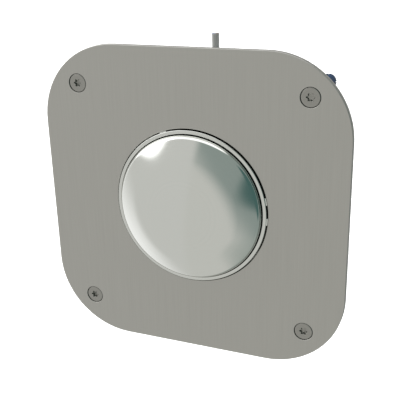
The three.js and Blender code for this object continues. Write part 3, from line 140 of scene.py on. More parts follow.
@dataclass(frozen=True)
class Finish:
    """A surface: what it is made of and how that was made smooth or rough.

    Args:
        name: Name of the material.
        slot: Material slot of the record that its pieces fill.
        colour: Main colour as sRGB hex.
        shade: Second colour that the grain mixes in.
        metallic: 1 for a metal, 0 for anything else.
        roughness: Middle roughness.
        spread: How far the grain moves the roughness up and down.
        grain: The kind of pattern.
        grain_mm: Spacing of the pattern.
        bump_mm: Height of the pattern.
        corner_mm: Distance of the corner axes in x and z, for rings about them.
        gloss: Strength of the shine of anything that is no metal.
    """

    name: str
    slot: str
    colour: str
    shade: str
    metallic: float
    roughness: float
    spread: float
    grain: Grain
    grain_mm: float
    bump_mm: float
    corner_mm: float = 0.0
    gloss: float = 0.5

    def pattern(self, tree: bpy.types.NodeTree) -> bpy.types.NodeSocket:
        """Builds the grain.

        Args:
            tree: The material's node tree.

        Returns:
            The socket that gives the pattern, from 0 to 1.
        """
        place = add(tree, "ShaderNodeTexCoord").outputs["Object"]
        if self.grain in (Grain.TURNED, Grain.TURNED_CORNERS):
            folded = add(tree, "ShaderNodeVectorMath", {0: place}, operation="ABSOLUTE")
            offset = self.corner_mm * MM if self.grain is Grain.TURNED_CORNERS else 0.0
            centred = add(
                tree, "ShaderNodeVectorMath", {0: folded.outputs[0], 1: (offset, 0, offset)},
                operation="SUBTRACT",
            )
            flat = add(
                tree, "ShaderNodeVectorMath", {0: centred.outputs[0], 1: (1, 0, 1)},
                operation="MULTIPLY",
            )
            radius = add(tree, "ShaderNodeVectorMath", {0: flat.outputs[0]}, operation="LENGTH")
            noise = add(
                tree, "ShaderNodeTexNoise",
                {"W": radius.outputs["Value"], "Scale": 1 / (self.grain_mm * MM), "Detail": 2.0},
                noise_dimensions="1D",
            )
            return noise.outputs["Fac"]
        along = 1 / LINE_LENGTH if self.grain is Grain.BRUSHED else 1.0
        stretched = add(
            tree, "ShaderNodeMapping", {"Vector": place, "Scale": (1, 1, along)},
        )
        noise = add(
            tree, "ShaderNodeTexNoise",
            {"Vector": stretched.outputs[0], "Scale": 1 / (self.grain_mm * MM), "Detail": 3.0},
        )
        return noise.outputs["Fac"]

    def material(self) -> bpy.types.Material:
        """Makes the material, or gives the one made before.

        Returns:
            The material.
        """
        made = bpy.data.materials.get(self.name)
        if made:
            return made
        made = bpy.data.materials.new(self.name)
        made.use_nodes = True
        tree = made.node_tree
        tree.nodes.clear()
        grain = self.pattern(tree)
        tint = add(
            tree, "ShaderNodeMix",
            {"Factor": grain, 6: linear(self.colour), 7: linear(self.shade)},
            data_type="RGBA",
        )
        rough = add(
            tree, "ShaderNodeMapRange",
            {
                "Value": grain, "From Min": 0.25, "From Max": 0.75,
                "To Min": max(self.roughness - self.spread, 0.02),
                "To Max": self.roughness + self.spread,
            },
        )
        bump = add(
            tree, "ShaderNodeBump",
            {"Height": grain, "Distance": self.bump_mm * MM, "Strength": 1.0},
        )
        inputs = {
            "Base Color": tint.outputs[2],
            "Metallic": self.metallic,
            "Roughness": rough.outputs[0],
            "Normal": bump.outputs[0],
            "Specular IOR Level": self.gloss,
        }
        shader = add(tree, "ShaderNodeBsdfPrincipled", inputs)
        add(tree, "ShaderNodeOutputMaterial", {"Surface": shader.outputs[0]})
        return made


# Austenitic stainless sheet, belt-brushed upright: grey, with fine upright lines in its sheen
BRUSHED_SHEET = Finish(
    "brushed_stainless_sheet", "brushed_plate", "bfbeb9", "b7b6b1", 1.0, 0.34, 0.04,
    Grain.BRUSHED, 0.5, 0.002,
)
# The sheet's laser-cut edge: matt and darker than its brushed face
CUT_EDGE = Finish(
    "laser_cut_stainless_edge", "brushed_plate", "8f8e89", "7e7d78", 1.0, 0.62, 0.08,
    Grain.PLAIN, 0.5, 0.01,
)
# Stainless steel, turned and polished: a mirror a little blurred by its last turning rings
POLISHED_STEEL = Finish(
    "polished_stainless_steel", "polished_steel", "e2e3df", "dfe1dd", 1.0, 0.1, 0.01,
    Grain.TURNED, 0.9, 0.0001,
)
# Stainless screws, turned: fine rings on the heads give a short, round sheen
SCREW_STEEL = Finish(
    "turned_stainless_screws", "turned_steel", "b3b2ad", "93928d", 1.0, 0.3, 0.08,
    Grain.TURNED_CORNERS, 0.25, 0.006, corner_mm=46.8,
)
# Stainless bar, turned on the button's axis: fine rings and a satin sheen
TURNED_STEEL = Finish(
    "turned_stainless_bar", "turned_steel", "b9b8b3", "a09f9a", 1.0, 0.28, 0.06,
    Grain.TURNED, 0.25, 0.004,
)
# Steel with bright zinc plating: bluish grey with a slightly yellow, cloudy film
ZINC_STEEL = Finish(
    "zinc_plated_steel", "zinc_steel", "b4b5ad", "9a9c97", 1.0, 0.34, 0.08,
    Grain.PLAIN, 2.2, 0.003,
)
# Hardened spring wire and strip: darker than the sheet, smooth from drawing
SPRING_STEEL = Finish(
    "drawn_spring_steel", "spring_steel", "9c9b97", "84837f", 1.0, 0.24, 0.06,
    Grain.PLAIN, 0.6, 0.002,
)
# Tinned brass strip, stamped: pale yellow where the tin is thin
BRASS = Finish(
    "tinned_brass", "brass", "c9b27a", "b39a5c", 1.0, 0.33, 0.06, Grain.PLAIN, 0.8, 0.002,
)
# Bare copper of a cut core: reddish and a little dull
COPPER = Finish(
    "bare_copper", "brass", "c07a52", "a96844", 1.0, 0.35, 0.05, Grain.PLAIN, 0.3, 0.002,
)
# Polyamide 6, moulded blue: satin, with the fine texture of the mould. Its colour is darker than
# the dye's blue, with painted shade for the shadow behind the plate
SHADE_DARKENED_BLUE_NYLON = Finish(
    "moulded_blue_polyamide", "blue_nylon", "002746", "00203a", 0.0, 0.5, 0.06,
    Grain.PLAIN, 0.7, 0.004, gloss=0.08,
)
# Glass-filled polyamide, moulded black: dull, with pale specks of glass at the skin
BLACK_NYLON = Finish(
    "glass_filled_black_polyamide", "black_nylon", "202224", "303234", 0.0, 0.52, 0.08,
    Grain.PLAIN, 0.5, 0.015,
)
# Acetal, turned or moulded white: waxy and a little yellow
WHITE_ACETAL = Finish(
    "white_acetal", "white_acetal", "e6e3da", "dad7cd", 0.0, 0.36, 0.05,
    Grain.PLAIN, 1.2, 0.004,
)
# Nitrile rubber sheet, pressed: matt black with a dusty grain
BLACK_RUBBER = Finish(
    "black_nitrile_rubber", "black_rubber", "1b1c1d", "2a2b2c", 0.0, 0.8, 0.08,
    Grain.PLAIN, 0.6, 0.02,
)
# Thermoset switch case, moulded: hard, dark grey, finely speckled
CASE_PLASTIC = Finish(
    "moulded_dark_thermoset", "switch_case", "2b2d31", "383a3e", 0.0, 0.45, 0.07,
    Grain.PLAIN, 0.35, 0.006,
)
# Polyester plunger, moulded red: smooth and a little glossy
RED_PLASTIC = Finish(
    "moulded_red_polyester", "red_plunger", "a8281c", "8e2018", 0.0, 0.3, 0.04,
    Grain.PLAIN, 0.8, 0.003,
)
# Soft PVC sheath, extruded grey: satin, with slight waves along it
GREY_SHEATH = Finish(
    "extruded_grey_pvc", "grey_sheath", "989997", "8c8d8b", 0.0, 0.5, 0.06,
    Grain.PLAIN, 1.5, 0.01,
)
# PVC core insulation, extruded brown: smooth and a little shiny
BROWN_CORE = Finish(
    "extruded_brown_pvc", "brown_core", "64402a", "553522", 0.0, 0.38, 0.05,
    Grain.PLAIN, 1.0, 0.004,
)
# PVC core insulation, extruded blue: smooth and a little shiny
BLUE_CORE = Finish(
    "extruded_blue_pvc", "blue_core", "2e66b4", "27589f", 0.0, 0.38, 0.05,
    Grain.PLAIN, 1.0, 0.004,
)
# Vinyl connector sleeve, moulded red: an even satin
RED_SLEEVE = Finish(
    "moulded_red_vinyl", "red_sleeve", "a82f2a", "a22c27", 0.0, 0.36, 0.03,
    Grain.PLAIN, 1.4, 0.001, gloss=0.3,
)


def placed(name: str, data: bpy.types.ID) -> bpy.types.Object:
    """Puts a mesh, curve, camera or light into the scene.

    Args:
        name: Name of the new object.
        data: What the object shows.

    Returns:
        The object, at the origin.
    """
    made = bpy.data.objects.new(name, data)
    bpy.context.scene.collection.objects.link(made)
    return made


def smoothed(piece: bpy.types.Object, crease: float = CREASE) -> bpy.types.Object:
    """Shades a piece smooth, with its sharper edges crisp.

    Args:
        piece: The piece.
        crease: Edges that turn by more than this many degrees stay crisp.

    Returns:
        The piece.
    """
    piece.data.shade_smooth()
    piece.data.set_sharp_from_angle(angle=math.radians(crease))
    return piece


def finished(name: str, bm: bmesh.types.BMesh, crease: float = CREASE) -> bpy.types.Object:
    """Turns a closed bmesh into an object with smooth faces and crisp edges.

    Args:
        name: Name of the object.
        bm: The mesh, in metres. It is freed.
        crease: Edges that turn by more than this many degrees stay crisp.

    Returns:
        The object.
    """
    bmesh.ops.recalc_face_normals(bm, faces=bm.faces)
    mesh = bpy.data.meshes.new(name)
    bm.to_mesh(mesh)
    bm.free()
    return smoothed(placed(name, mesh), crease)


def flattened(piece: bpy.types.Object) -> bpy.types.Object:
    """Replaces a piece's mesh by what its modifiers make of it, and takes them off.

    Args:
        piece: The piece with its modifiers.

    Returns:
        The piece with a plain mesh.
    """
    graph = bpy.context.evaluated_depsgraph_get()
    mesh = bpy.data.meshes.new_from_object(
        piece.evaluated_get(graph), preserve_all_data_layers=True, depsgraph=graph
    )
    piece.modifiers.clear()
    piece.data = mesh
    mesh.name = piece.name
    return piece


def joined(target: bpy.types.Object, tools: list[bpy.types.Object], how: str) -> bpy.types.Object:
    """Cuts closed tools out of a piece, or adds them to it.

    Args:
        target: The piece that stays.
        tools: Closed pieces that are used up.
        how: "DIFFERENCE", "UNION" or "INTERSECT".

    Returns:
        The piece.
    """
    for tool in tools:
        modifier = target.modifiers.new("tool", "BOOLEAN")
        modifier.operation = how
        modifier.solver = "EXACT"
        modifier.object = tool
    flattened(target)
    for tool in tools:
        bpy.data.objects.remove(tool)
    return smoothed(target)


def softened(
    piece: bpy.types.Object, width: float, steps: int = 2, limit: float = 35
) -> bpy.types.Object:
    """Rounds the edges of a piece.

    Args:
        piece: The piece.
        width: Width of the rounding in millimetres.
        steps: Faces across it.
        limit: Edges that turn by less than this many degrees are left.

    Returns:
        The piece.
    """
    modifier = piece.modifiers.new("round", "BEVEL")
    modifier.width = width * MM
    modifier.segments = steps
    modifier.limit_method = "ANGLE"
    modifier.angle_limit = math.radians(limit)
    modifier.use_clamp_overlap = True
    modifier.harden_normals = True
    piece.data.shade_smooth()
    return flattened(piece)


def filleted(points: list[Point2], radius: float, closed: bool = True) -> list[Point2]:
    """Rounds the corners of an outline and keeps its straight stretches flat.

    Args:
        points: Corners of the outline.
        radius: Rounding radius, less where a side is short.
        closed: Whether the last point joins the first.

    Returns:
        The outline with each corner as an arc between two holding points.
    """
    made: list[Point2] = []
    count = len(points)
    for i, point in enumerate(points):
        if not closed and i in (0, count - 1):
            made.append(point)
            continue
        here = Vector(point)
        before = Vector(points[i - 1]) - here
        after = Vector(points[(i + 1) % count]) - here
        turn = math.pi - before.angle(after)
        if turn < math.radians(KEPT_TURN):
            made.append(point)
            continue
        reach = min(radius * math.tan(turn / 2), 0.4 * before.length, 0.4 * after.length)
        start = here + before.normalized() * reach
        end = here + after.normalized() * reach
        made.append(tuple(start + before.normalized() * 0.2 * reach))
        for k in range(EDGE_STEPS + 1):
            t = k / EDGE_STEPS
            made.append(tuple(start * (1 - t) ** 2 + here * 2 * t * (1 - t) + end * t * t))
        made.append(tuple(end + after.normalized() * 0.2 * reach))
    return made


def bridge(bm: bmesh.types.BMesh, one: list, two: list) -> None:
    """Joins two rings of vertices by faces.

    Args:
        bm: The mesh that holds them.
        one: The first ring, which may be one vertex.
        two: The second ring, which may be one vertex.
    """
    count = max(len(one), len(two))
    for k in range(count):
        after = (k + 1) % count
        unique = list(dict.fromkeys((
            one[k % len(one)], one[after % len(one)], two[after % len(two)], two[k % len(two)],
        )))
        if len(unique) > 2:
            bm.faces.new(unique)


def lathe(
    name: str, profile: list[tuple], sides: int = RING_SIDES, at: Point2 = (0, 0)
) -> bpy.types.Object:
    """Turns a profile about an axis along y.

    Args:
        name: Name of the piece.
        profile: Points of radius, y and, where the ring has six lobes, the lobes' share of the
            radius. The profile is closed unless both ends lie on the axis.
        sides: Faces round the axis.
        at: The axis' place in x and z.

    Returns:
        The piece.
    """
    bm = bmesh.new()
    rings = []
    for radius, y, *wave in profile:
        ring = []
        for k in range(sides if radius > AXIS_RADIUS else 1):
            turn = 2 * math.pi * k / sides
            share = 1 + sum(wave) * (math.cos(LOBES * turn) - 1)
            x = at[0] + radius * share * math.cos(turn)
            z = at[1] + radius * share * math.sin(turn)
            ring.append(bm.verts.new(Vector((x, y, z)) * MM))
        rings.append(ring)
    for one, two in zip(rings, rings[1:]):
        bridge(bm, one, two)
    if len(rings[0]) > 1:
        bridge(bm, rings[-1], rings[0])
    return finished(name, bm)


def circle(x: float, z: float, radius: float, y: float, sides: int = RING_SIDES) -> Ring:
    """A ring of points on a circle about an axis along y."""
    turns = [2 * math.pi * k / sides for k in range(sides)]
    return [(x + radius * math.cos(turn), y, z + radius * math.sin(turn)) for turn in turns]


def square(half: float, corner: float, y: float, steps: int = 20) -> Ring:
    """Gives a ring of points on a square about the y axis with round corners.

    Args:
        half: Half its width.
        corner: Radius of its corners.
        y: Its place.
        steps: Stretches round each corner.

    Returns:
        The points.
    """
    points = []
    for quarter in range(4):
        middle = math.pi / 4 + quarter * math.pi / 2
        across = half - corner
        x = math.copysign(across, math.cos(middle))
        z = math.copysign(across, math.sin(middle))
        for k in range(steps + 1):
            turn = quarter * math.pi / 2 + k / steps * math.pi / 2
            points.append((x + corner * math.cos(turn), y, z + corner * math.sin(turn)))
    return points


def edge_rings(front: float, rear: float, width: float) -> list[Point2]:
    """Insets and places of the rings down a side wall with rounded edges.

    Args:
        front: Place of the front face.
        rear: Place of the rear face.
        width: Width of the rounding.

    Returns:
        Pairs of inset and y, from the front face to the rear face.
    """
    corner = [(width * 1.6, front), *[
        (
            width * (1 - math.sin(k / EDGE_STEPS * math.pi / 2)),
            front + width * (1 - math.cos(k / EDGE_STEPS * math.pi / 2)),
        )
        for k in range(EDGE_STEPS + 1)
    ]]
    return corner + [(inset, front + rear - y) for inset, y in reversed(corner)]


def slab(name: str, walls: list[list[Ring]]) -> bpy.types.Object:
    """A flat piece with holes. Its front and rear faces are filled between its walls.

    Args:
        name: Name of the piece.
        walls: The outer wall and then each hole's wall, as rings from front to rear.

    Returns:
        The piece.
    """
    bm = bmesh.new()
    caps: tuple[list, list] = ([], [])
    for wall in walls:
        rings = [[bm.verts.new(Vector(point) * MM) for point in ring] for ring in wall]
        for one, two in zip(rings, rings[1:]):
            bridge(bm, one, two)
        for cap, ring in zip(caps, (rings[0], rings[-1])):
            for k, vertex in enumerate(ring):
                cap.append(bm.edges.get((vertex, ring[(k + 1) % len(ring)])))
    for cap in caps:
        bmesh.ops.triangle_fill(bm, use_beauty=True, use_dissolve=False, edges=cap)
    return finished(name, bm)


def bar(name: str, ends: tuple[Ring, Ring]) -> bpy.types.Object:
    """Joins two like rings to a closed bar with flat ends.

    Args:
        name: Name of the piece.
        ends: Its two end rings.

    Returns:
        The piece.
    """
    bm = bmesh.new()
    first, last = [
        [bm.verts.new([value * MM for value in point]) for point in ring] for ring in ends
    ]
    bridge(bm, first, last)
    bm.faces.new(first)
    bm.faces.new(last)
    return finished(name, bm)


def prism(name: str, outline: list[Point2], front: float, rear: float) -> bpy.types.Object:
    """Makes a straight bar along y.

    Args:
        name: Name of the piece.
        outline: Its outline in x and z.
        front: Place of its front end.
        rear: Place of its rear end.

    Returns:
        The piece.
    """
    return bar(name, ([(x, front, z) for x, z in outline], [(x, rear, z) for x, z in outline]))


def arc(
    out: float, back: float, radius: float, first: float, last: float, steps: int
) -> list[Point2]:
    """Gives points on an arc of a profile, for the lathe.

    Args:
        out: Distance of the arc's middle from the axis.
        back: The middle's y.
        radius: Radius of the arc.
        first: Angle of its start, from the front outwards.
        last: Angle of its end.
        steps: Stretches between its points.

    Returns:
        Points of radius and y, both ends among them.
    """
    turns = [first + (last - first) * k / steps for k in range(steps + 1)]
    return [(out + radius * math.sin(turn), back - radius * math.cos(turn)) for turn in turns]


def rod(radius: float, front: float, rear: float) -> list[Point2]:
    """Profile of a plain rod, for the lathe."""
    return [(0, front), (radius, front), (radius, rear), (0, rear)]


def tube(bore: float, radius: float, front: float, rear: float, round_off: float) -> list[Point2]:
    """Gives the profile of a plain tube with rounded edges, for the lathe.

    Args:
        bore: Inner radius.
        radius: Outer radius.
        front: Place of its front end.
        rear: Place of its rear end.
        round_off: Radius of its edges.

    Returns:
        Points of radius and y.
    """
    return filleted([(bore, front), (radius, front), (radius, rear), (bore, rear)], round_off)


def oblong(half_width: float, half_height: float) -> list[Point2]:
    """Corners of an oblong about the axis."""
    x, z = half_width, half_height
    return [(-x, -z), (x, -z), (x, z), (-x, z)]


def corners(offset: float) -> list[Point2]:
    """Places at the corners of a square about the axis, as x and z."""
    return [(offset, offset), (-offset, offset), (-offset, -offset), (offset, -offset)]


def holes(
    places: list[Point2], radius: float, edge: list[Point2], sides: int = ROD_SIDES
) -> list[list[Ring]]:
    """Gives the walls of like round holes through a slab.

    Args:
        places: Their middles in x and z.
        radius: Their radius.
        edge: Pairs of inset and y from the front face to the rear face.
        sides: Faces round each.

    Returns:
        One wall for each hole.
    """
    return [[circle(x, z, radius + inset, y, sides) for inset, y in edge] for x, z in places]


def install(
    piece: bpy.types.Object, finish: Finish, *nodes: str, body: str = "panel"
) -> bpy.types.Object:
    """Dresses a piece, puts it on its body and lets it stand for its nodes.

    Args:
        piece: The piece.
        finish: Its surface, unless it carries materials already.
        *nodes: The nodes that it stands for.
        body: The body that it moves with.

    Returns:
        The piece.
    """
    if not any(piece.data.materials):
        piece.data.materials.clear()
        piece.data.materials.append(finish.material())
    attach(piece, body)
    if nodes:
        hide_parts(*nodes)
    log.info("%s stands for %s", piece.name, ", ".join(nodes) or "a detail")
    return piece


def from_solid(
    name: str, node: str, finish: Finish, width: float, steps: int = 2, crease: float = 35,
    body: str = "panel",
) -> bpy.types.Object:
    """Makes a piece from a node's own solid, with rounded edges, and installs it in its place.

    Args:
        name: Name of the new piece.
        node: The node whose mesh is copied.
        finish: Its surface.
        width: Width of the edge rounding in millimetres.
        steps: Faces across it.
        crease: Edges that turn by more than this many degrees are rounded.
        body: The body that it moves with.

    Returns:
        The piece.
    """
    bm = bmesh.new()
    bm.from_mesh(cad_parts[node].data)
    bmesh.ops.remove_doubles(bm, verts=bm.verts, dist=WELD * MM)
    bmesh.ops.dissolve_limit(
        bm, angle_limit=math.radians(FLAT_TURN), verts=bm.verts, edges=bm.edges
    )
    piece = softened(finished(name, bm, crease), width, steps, crease)
    return install(piece, finish, node, body=body)


def two_faced(
    piece: bpy.types.Object, first: Finish, second: Finish, takes_second: Callable[..., bool]
) -> None:
    """Gives a piece two finishes, chosen face by face.

    Args:
        piece: The piece.
        first: Its main finish.
        second: The finish of the faces that are picked.
        takes_second: Says of a face whether it is picked.
    """
    piece.data.materials.clear()
    for finish in (first, second):
        piece.data.materials.append(finish.material())
    for face in piece.data.polygons:
        face.material_index = int(takes_second(face))


def numbered(name: str, count: int = 4) -> list[str]:
    """Names of repeated nodes, counted from 1."""
    return [f"{name}_{i + 1}" for i in range(count)]


class Rule:
    """A Geometry Nodes tree under construction, with named inputs."""

    def __init__(self, name: str, inputs: dict[str, str]) -> None:
        """Starts a tree.

        Args:
            name: Name of the tree.
            inputs: Socket types by input name.
        """
        self.tree = bpy.data.node_groups.new(name, "GeometryNodeTree")
        for label, kind in inputs.items():
            self.tree.interface.new_socket(label, in_out="INPUT", socket_type=kind)
        self.tree.interface.new_socket(
            "Geometry", in_out="OUTPUT", socket_type="NodeSocketGeometry"
        )
        self.given = self.tree.nodes.new("NodeGroupInput").outputs

    def node(self, kind: str, inputs: dict | None = None) -> bpy.types.Node:
        """Adds a node to the tree."""
        return add(self.tree, kind, inputs)

    def maths(self, operation: str, *values: object) -> bpy.types.NodeSocket:
        """Adds a Math node.

        Args:
            operation: What it does.
            *values: Numbers or sockets.

        Returns:
            Its result.
        """
        node = add(self.tree, "ShaderNodeMath", dict(enumerate(values)), operation=operation)
        return node.outputs[0]

    def tube(
        self, path: bpy.types.NodeSocket, radius: bpy.types.NodeSocket, sides: int
    ) -> bpy.types.NodeSocket:
        """Gives a path a round section.

        Args:
            path: The path's curve.
            radius: Radius of the section.
            sides: Faces round it.

        Returns:
            The mesh, with closed ends.
        """
        section = self.node(
            "GeometryNodeCurvePrimitiveCircle", {"Resolution": sides, "Radius": radius}
        )
        swept = self.node("GeometryNodeCurveToMesh", {
            "Curve": path, "Profile Curve": section.outputs[0], "Fill Caps": True,
        })
        return swept.outputs[0]

    def helix(
        self, count: object, turns: bpy.types.NodeSocket, rise: bpy.types.NodeSocket
    ) -> bpy.types.NodeSocket:
        """Winds a line about the y axis, at the input "Radius".

        Args:
            count: Number of its points.
            turns: Turns up to each point.
            rise: Each point's y.

        Returns:
            The line as a curve.
        """
        angle = self.maths("MULTIPLY", turns, 2 * math.pi)
        point = self.node("ShaderNodeCombineXYZ", {
            "X": self.maths("MULTIPLY", self.maths("COSINE", angle), self.given["Radius"]),
            "Y": rise,
            "Z": self.maths("MULTIPLY", self.maths("SINE", angle), self.given["Radius"]),
        })
        line = self.node("GeometryNodeMeshLine", {"Count": count})
        wound = self.node(
            "GeometryNodeSetPosition", {"Geometry": line.outputs[0], "Position": point.outputs[0]}
        )
        return self.node("GeometryNodeMeshToCurve", {0: wound.outputs[0]}).outputs[0]

    def copies(self, points: bpy.types.NodeSocket) -> bpy.types.NodeTree:
        """Ends the tree in copies of the input "Piece".

        Args:
            points: Where the copies go.

        Returns:
            The finished tree.
        """
        source = self.node("GeometryNodeObjectInfo", {"Object": self.given["Piece"]})
        made = self.node(
            "GeometryNodeInstanceOnPoints",
            {"Points": points, "Instance": source.outputs["Geometry"]},
        )
        return self.close(made.outputs[0])

    def close(self, geometry: bpy.types.NodeSocket) -> bpy.types.NodeTree:
        """Ends the tree in realised, smooth geometry with its material.

        Args:
            geometry: What the tree made.

        Returns:
            The finished tree.
        """
        real = self.node("GeometryNodeRealizeInstances", {0: geometry})
        dressed = self.node(
            "GeometryNodeSetMaterial",
            {"Geometry": real.outputs[0], "Material": self.given["Material"]},
        )
        out = self.tree.nodes.new("NodeGroupOutput")
        self.tree.links.new(dressed.outputs[0], out.inputs[0])
        return self.tree

    @staticmethod
    def run(name: str, tree: bpy.types.NodeTree, values: dict) -> bpy.types.Object:
        """Makes a plain mesh by a tree.

        Args:
            name: Name of the piece.
            tree: The tree.
            values: Its inputs by name.

        Returns:
            The piece, without its modifier.
        """
        piece = placed(name, bpy.data.meshes.new(name))
        modifier = piece.modifiers.new("rule", "NODES")
        modifier.node_group = tree
        for item in tree.interface.items_tree:
            if item.in_out == "INPUT":
                modifier[item.identifier] = values[item.name]
        return flattened(piece)


@cache
def corner_rule() -> bpy.types.NodeTree:
    """Makes the rule that copies a piece to the corners of a square about the y axis.

    Returns:
        A tree with the inputs Piece, Offset and Material.
    """
    rule = Rule("four_corners", {
        "Piece": "NodeSocketObject", "Offset": "NodeSocketFloat", "Material": "NodeSocketMaterial",
    })
    side = rule.maths("MULTIPLY", rule.given["Offset"], 2.0)
    grid = rule.node(
        "GeometryNodeMeshGrid",
        {"Size X": side, "Size Y": side, "Vertices X": 2, "Vertices Y": 2},
    )
    upright = rule.node(
        "GeometryNodeTransform", {"Geometry": grid.outputs[0], "Rotation": (math.pi / 2, 0, 0)}
    )
    return rule.copies(upright.outputs[0])


@cache
def points_rule() -> bpy.types.NodeTree:
    """Makes the rule that copies a piece to every vertex of another object.

    Returns:
        A tree with the inputs Piece, Places and Material.
    """
    rule = Rule("on_places", {
        "Piece": "NodeSocketObject", "Places": "NodeSocketObject", "Material": "NodeSocketMaterial",
    })
    places = rule.node("GeometryNodeObjectInfo", {"Object": rule.given["Places"]})
    return rule.copies(places.outputs["Geometry"])


@cache
def wire_rule() -> bpy.types.NodeTree:
    """Makes the rule that gives a curve object a round section.

    Returns:
        A tree with the inputs Path, Radius and Material.
    """
    rule = Rule("wire", {
        "Path": "NodeSocketObject", "Radius": "NodeSocketFloat", "Material": "NodeSocketMaterial",
    })
    path = rule.node("GeometryNodeObjectInfo", {"Object": rule.given["Path"]})
    return rule.close(rule.tube(path.outputs["Geometry"], rule.given["Radius"], sides=20))


@cache
def thread_rule() -> bpy.types.NodeTree:
    """Makes the rule that winds a thread's ridge along the y axis between two places.

    Returns:
        A tree with the inputs Radius, Ridge, Pitch, Front, Rear and Material.
    """
    rule = Rule("thread", {
        "Radius": "NodeSocketFloat", "Ridge": "NodeSocketFloat", "Pitch": "NodeSocketFloat",
        "Front": "NodeSocketFloat", "Rear": "NodeSocketFloat", "Material": "NodeSocketMaterial",
    })
    per_turn = 20.0
    given = rule.given
    span = rule.maths("SUBTRACT", given["Rear"], given["Front"])
    count = rule.maths("MULTIPLY", rule.maths("DIVIDE", span, given["Pitch"]), per_turn)
    turns = rule.maths("DIVIDE", rule.node("GeometryNodeInputIndex").outputs[0], per_turn)
    rise = rule.maths("MULTIPLY_ADD", turns, given["Pitch"], given["Front"])
    return rule.close(rule.tube(rule.helix(count, turns, rise), given["Ridge"], sides=4))


def spring_rule() -> bpy.types.NodeTree:
    """Makes the rule that winds a compression spring along y, with closer end turns.

    Returns:
        A tree with the inputs Radius, Wire, Front, Rear, Turns, End Turns, End Pitch and Material.
    """
    rule = Rule("compression_spring", {
        "Radius": "NodeSocketFloat", "Wire": "NodeSocketFloat", "Front": "NodeSocketFloat",
        "Rear": "NodeSocketFloat", "Turns": "NodeSocketFloat", "End Turns": "NodeSocketFloat",
        "End Pitch": "NodeSocketFloat", "Material": "NodeSocketMaterial",
    })
    per_turn = 48.0
    given = rule.given
    count = rule.maths("MULTIPLY_ADD", given["Turns"], per_turn, 1.0)
    turns = rule.maths("DIVIDE", rule.node("GeometryNodeInputIndex").outputs[0], per_turn)
    both_ends = rule.maths("MULTIPLY", given["End Turns"], 2.0)
    middle = rule.maths("SUBTRACT", given["Turns"], both_ends)
    span = rule.maths("SUBTRACT", given["Rear"], given["Front"])
    end_rise = rule.maths("MULTIPLY", both_ends, given["End Pitch"])
    pitch = rule.maths("DIVIDE", rule.maths("SUBTRACT", span, end_rise), middle)
    first = rule.maths("MINIMUM", turns, given["End Turns"])
    past_first = rule.maths("MAXIMUM", rule.maths("SUBTRACT", turns, given["End Turns"]), 0.0)
    between = rule.maths("MINIMUM", past_first, middle)
    last = rule.maths("MAXIMUM", rule.maths("SUBTRACT", past_first, middle), 0.0)
    ends = rule.maths("MULTIPLY", rule.maths("ADD", first, last), given["End Pitch"])
    rise = rule.maths("ADD", rule.maths("MULTIPLY_ADD", between, pitch, ends), given["Front"])
    return rule.close(rule.tube(rule.helix(count, turns, rise), given["Wire"], sides=16))


def at_corners(
    name: str, piece: bpy.types.Object, offset: float, finish: Finish, node: str
) -> bpy.types.Object:
    """Copies a piece made about the y axis to four corners and installs the copies as one.

    Args:
        name: Name of the result.
        piece: The piece to copy, which is used up.
        offset: Distance of the corners in x and z.
        finish: Its surface.
        node: Name, without its number, of the four nodes that the copies stand for.

    Returns:
        The four copies as one piece.
    """
    values = {"Piece": piece, "Offset": offset * MM, "Material": finish.material()}
    made = Rule.run(name, corner_rule(), values)
    bpy.data.objects.remove(piece)
    return install(smoothed(made), finish, *numbered(node))


def threaded(
    core: bpy.types.Object, radius: float, pitch: float, front: float, rear: float, finish: Finish
) -> bpy.types.Object:
    """Adds a thread's ridge to a bar on the y axis.

    Args:
        core: The bar.
        radius: Outer radius of the thread.
        pitch: Pitch of the thread.
        front: Where the ridge starts.
        rear: Where it ends.
        finish: Its surface.

    Returns:
        The bar with its thread.
    """
    high = RIDGE_SHARE * pitch
    ridge = Rule.run("thread_ridge", thread_rule(), {
        "Radius": (radius - high) * MM, "Ridge": high * MM, "Pitch": pitch * MM,
        "Front": front * MM, "Rear": rear * MM, "Material": finish.material(),
    })
    return merged([core, ridge])


def merged(pieces: list[bpy.types.Object]) -> bpy.types.Object:
    """Puts several pieces into the mesh of the first one.

    Args:
        pieces: The pieces. All but the first are used up.

    Returns:
        The first piece.
    """
    bm = bmesh.new()
    for piece in pieces:
        bm.from_mesh(piece.data)
    bm.to_mesh(pieces[0].data)
    bm.free()
    for piece in pieces[1:]:
        bpy.data.objects.remove(piece)
    return pieces[0]


def at_places(
    name: str, piece: bpy.types.Object, places: list[Point3], finish: Finish, *nodes: str
) -> bpy.types.Object:
    """Copies a piece to several places and installs the copies as one.

    Args:
        name: Name of the result.
        piece: The piece to copy, made about the origin. It is used up.
        places: Where the copies go, in millimetres.
        finish: Its surface.
        *nodes: The nodes that the copies stand for.

    Returns:
        The copies as one piece.
    """
    marks = bpy.data.meshes.new("marks")
    marks.from_pydata([Vector(place) * MM for place in places], [], [])
    holder = placed("marks", marks)
    values = {"Piece": piece, "Places": holder, "Material": finish.material()}
    made = Rule.run(name, points_rule(), values)
    for used in (piece, holder):
        bpy.data.objects.remove(used)
    return install(smoothed(made), finish, *nodes)


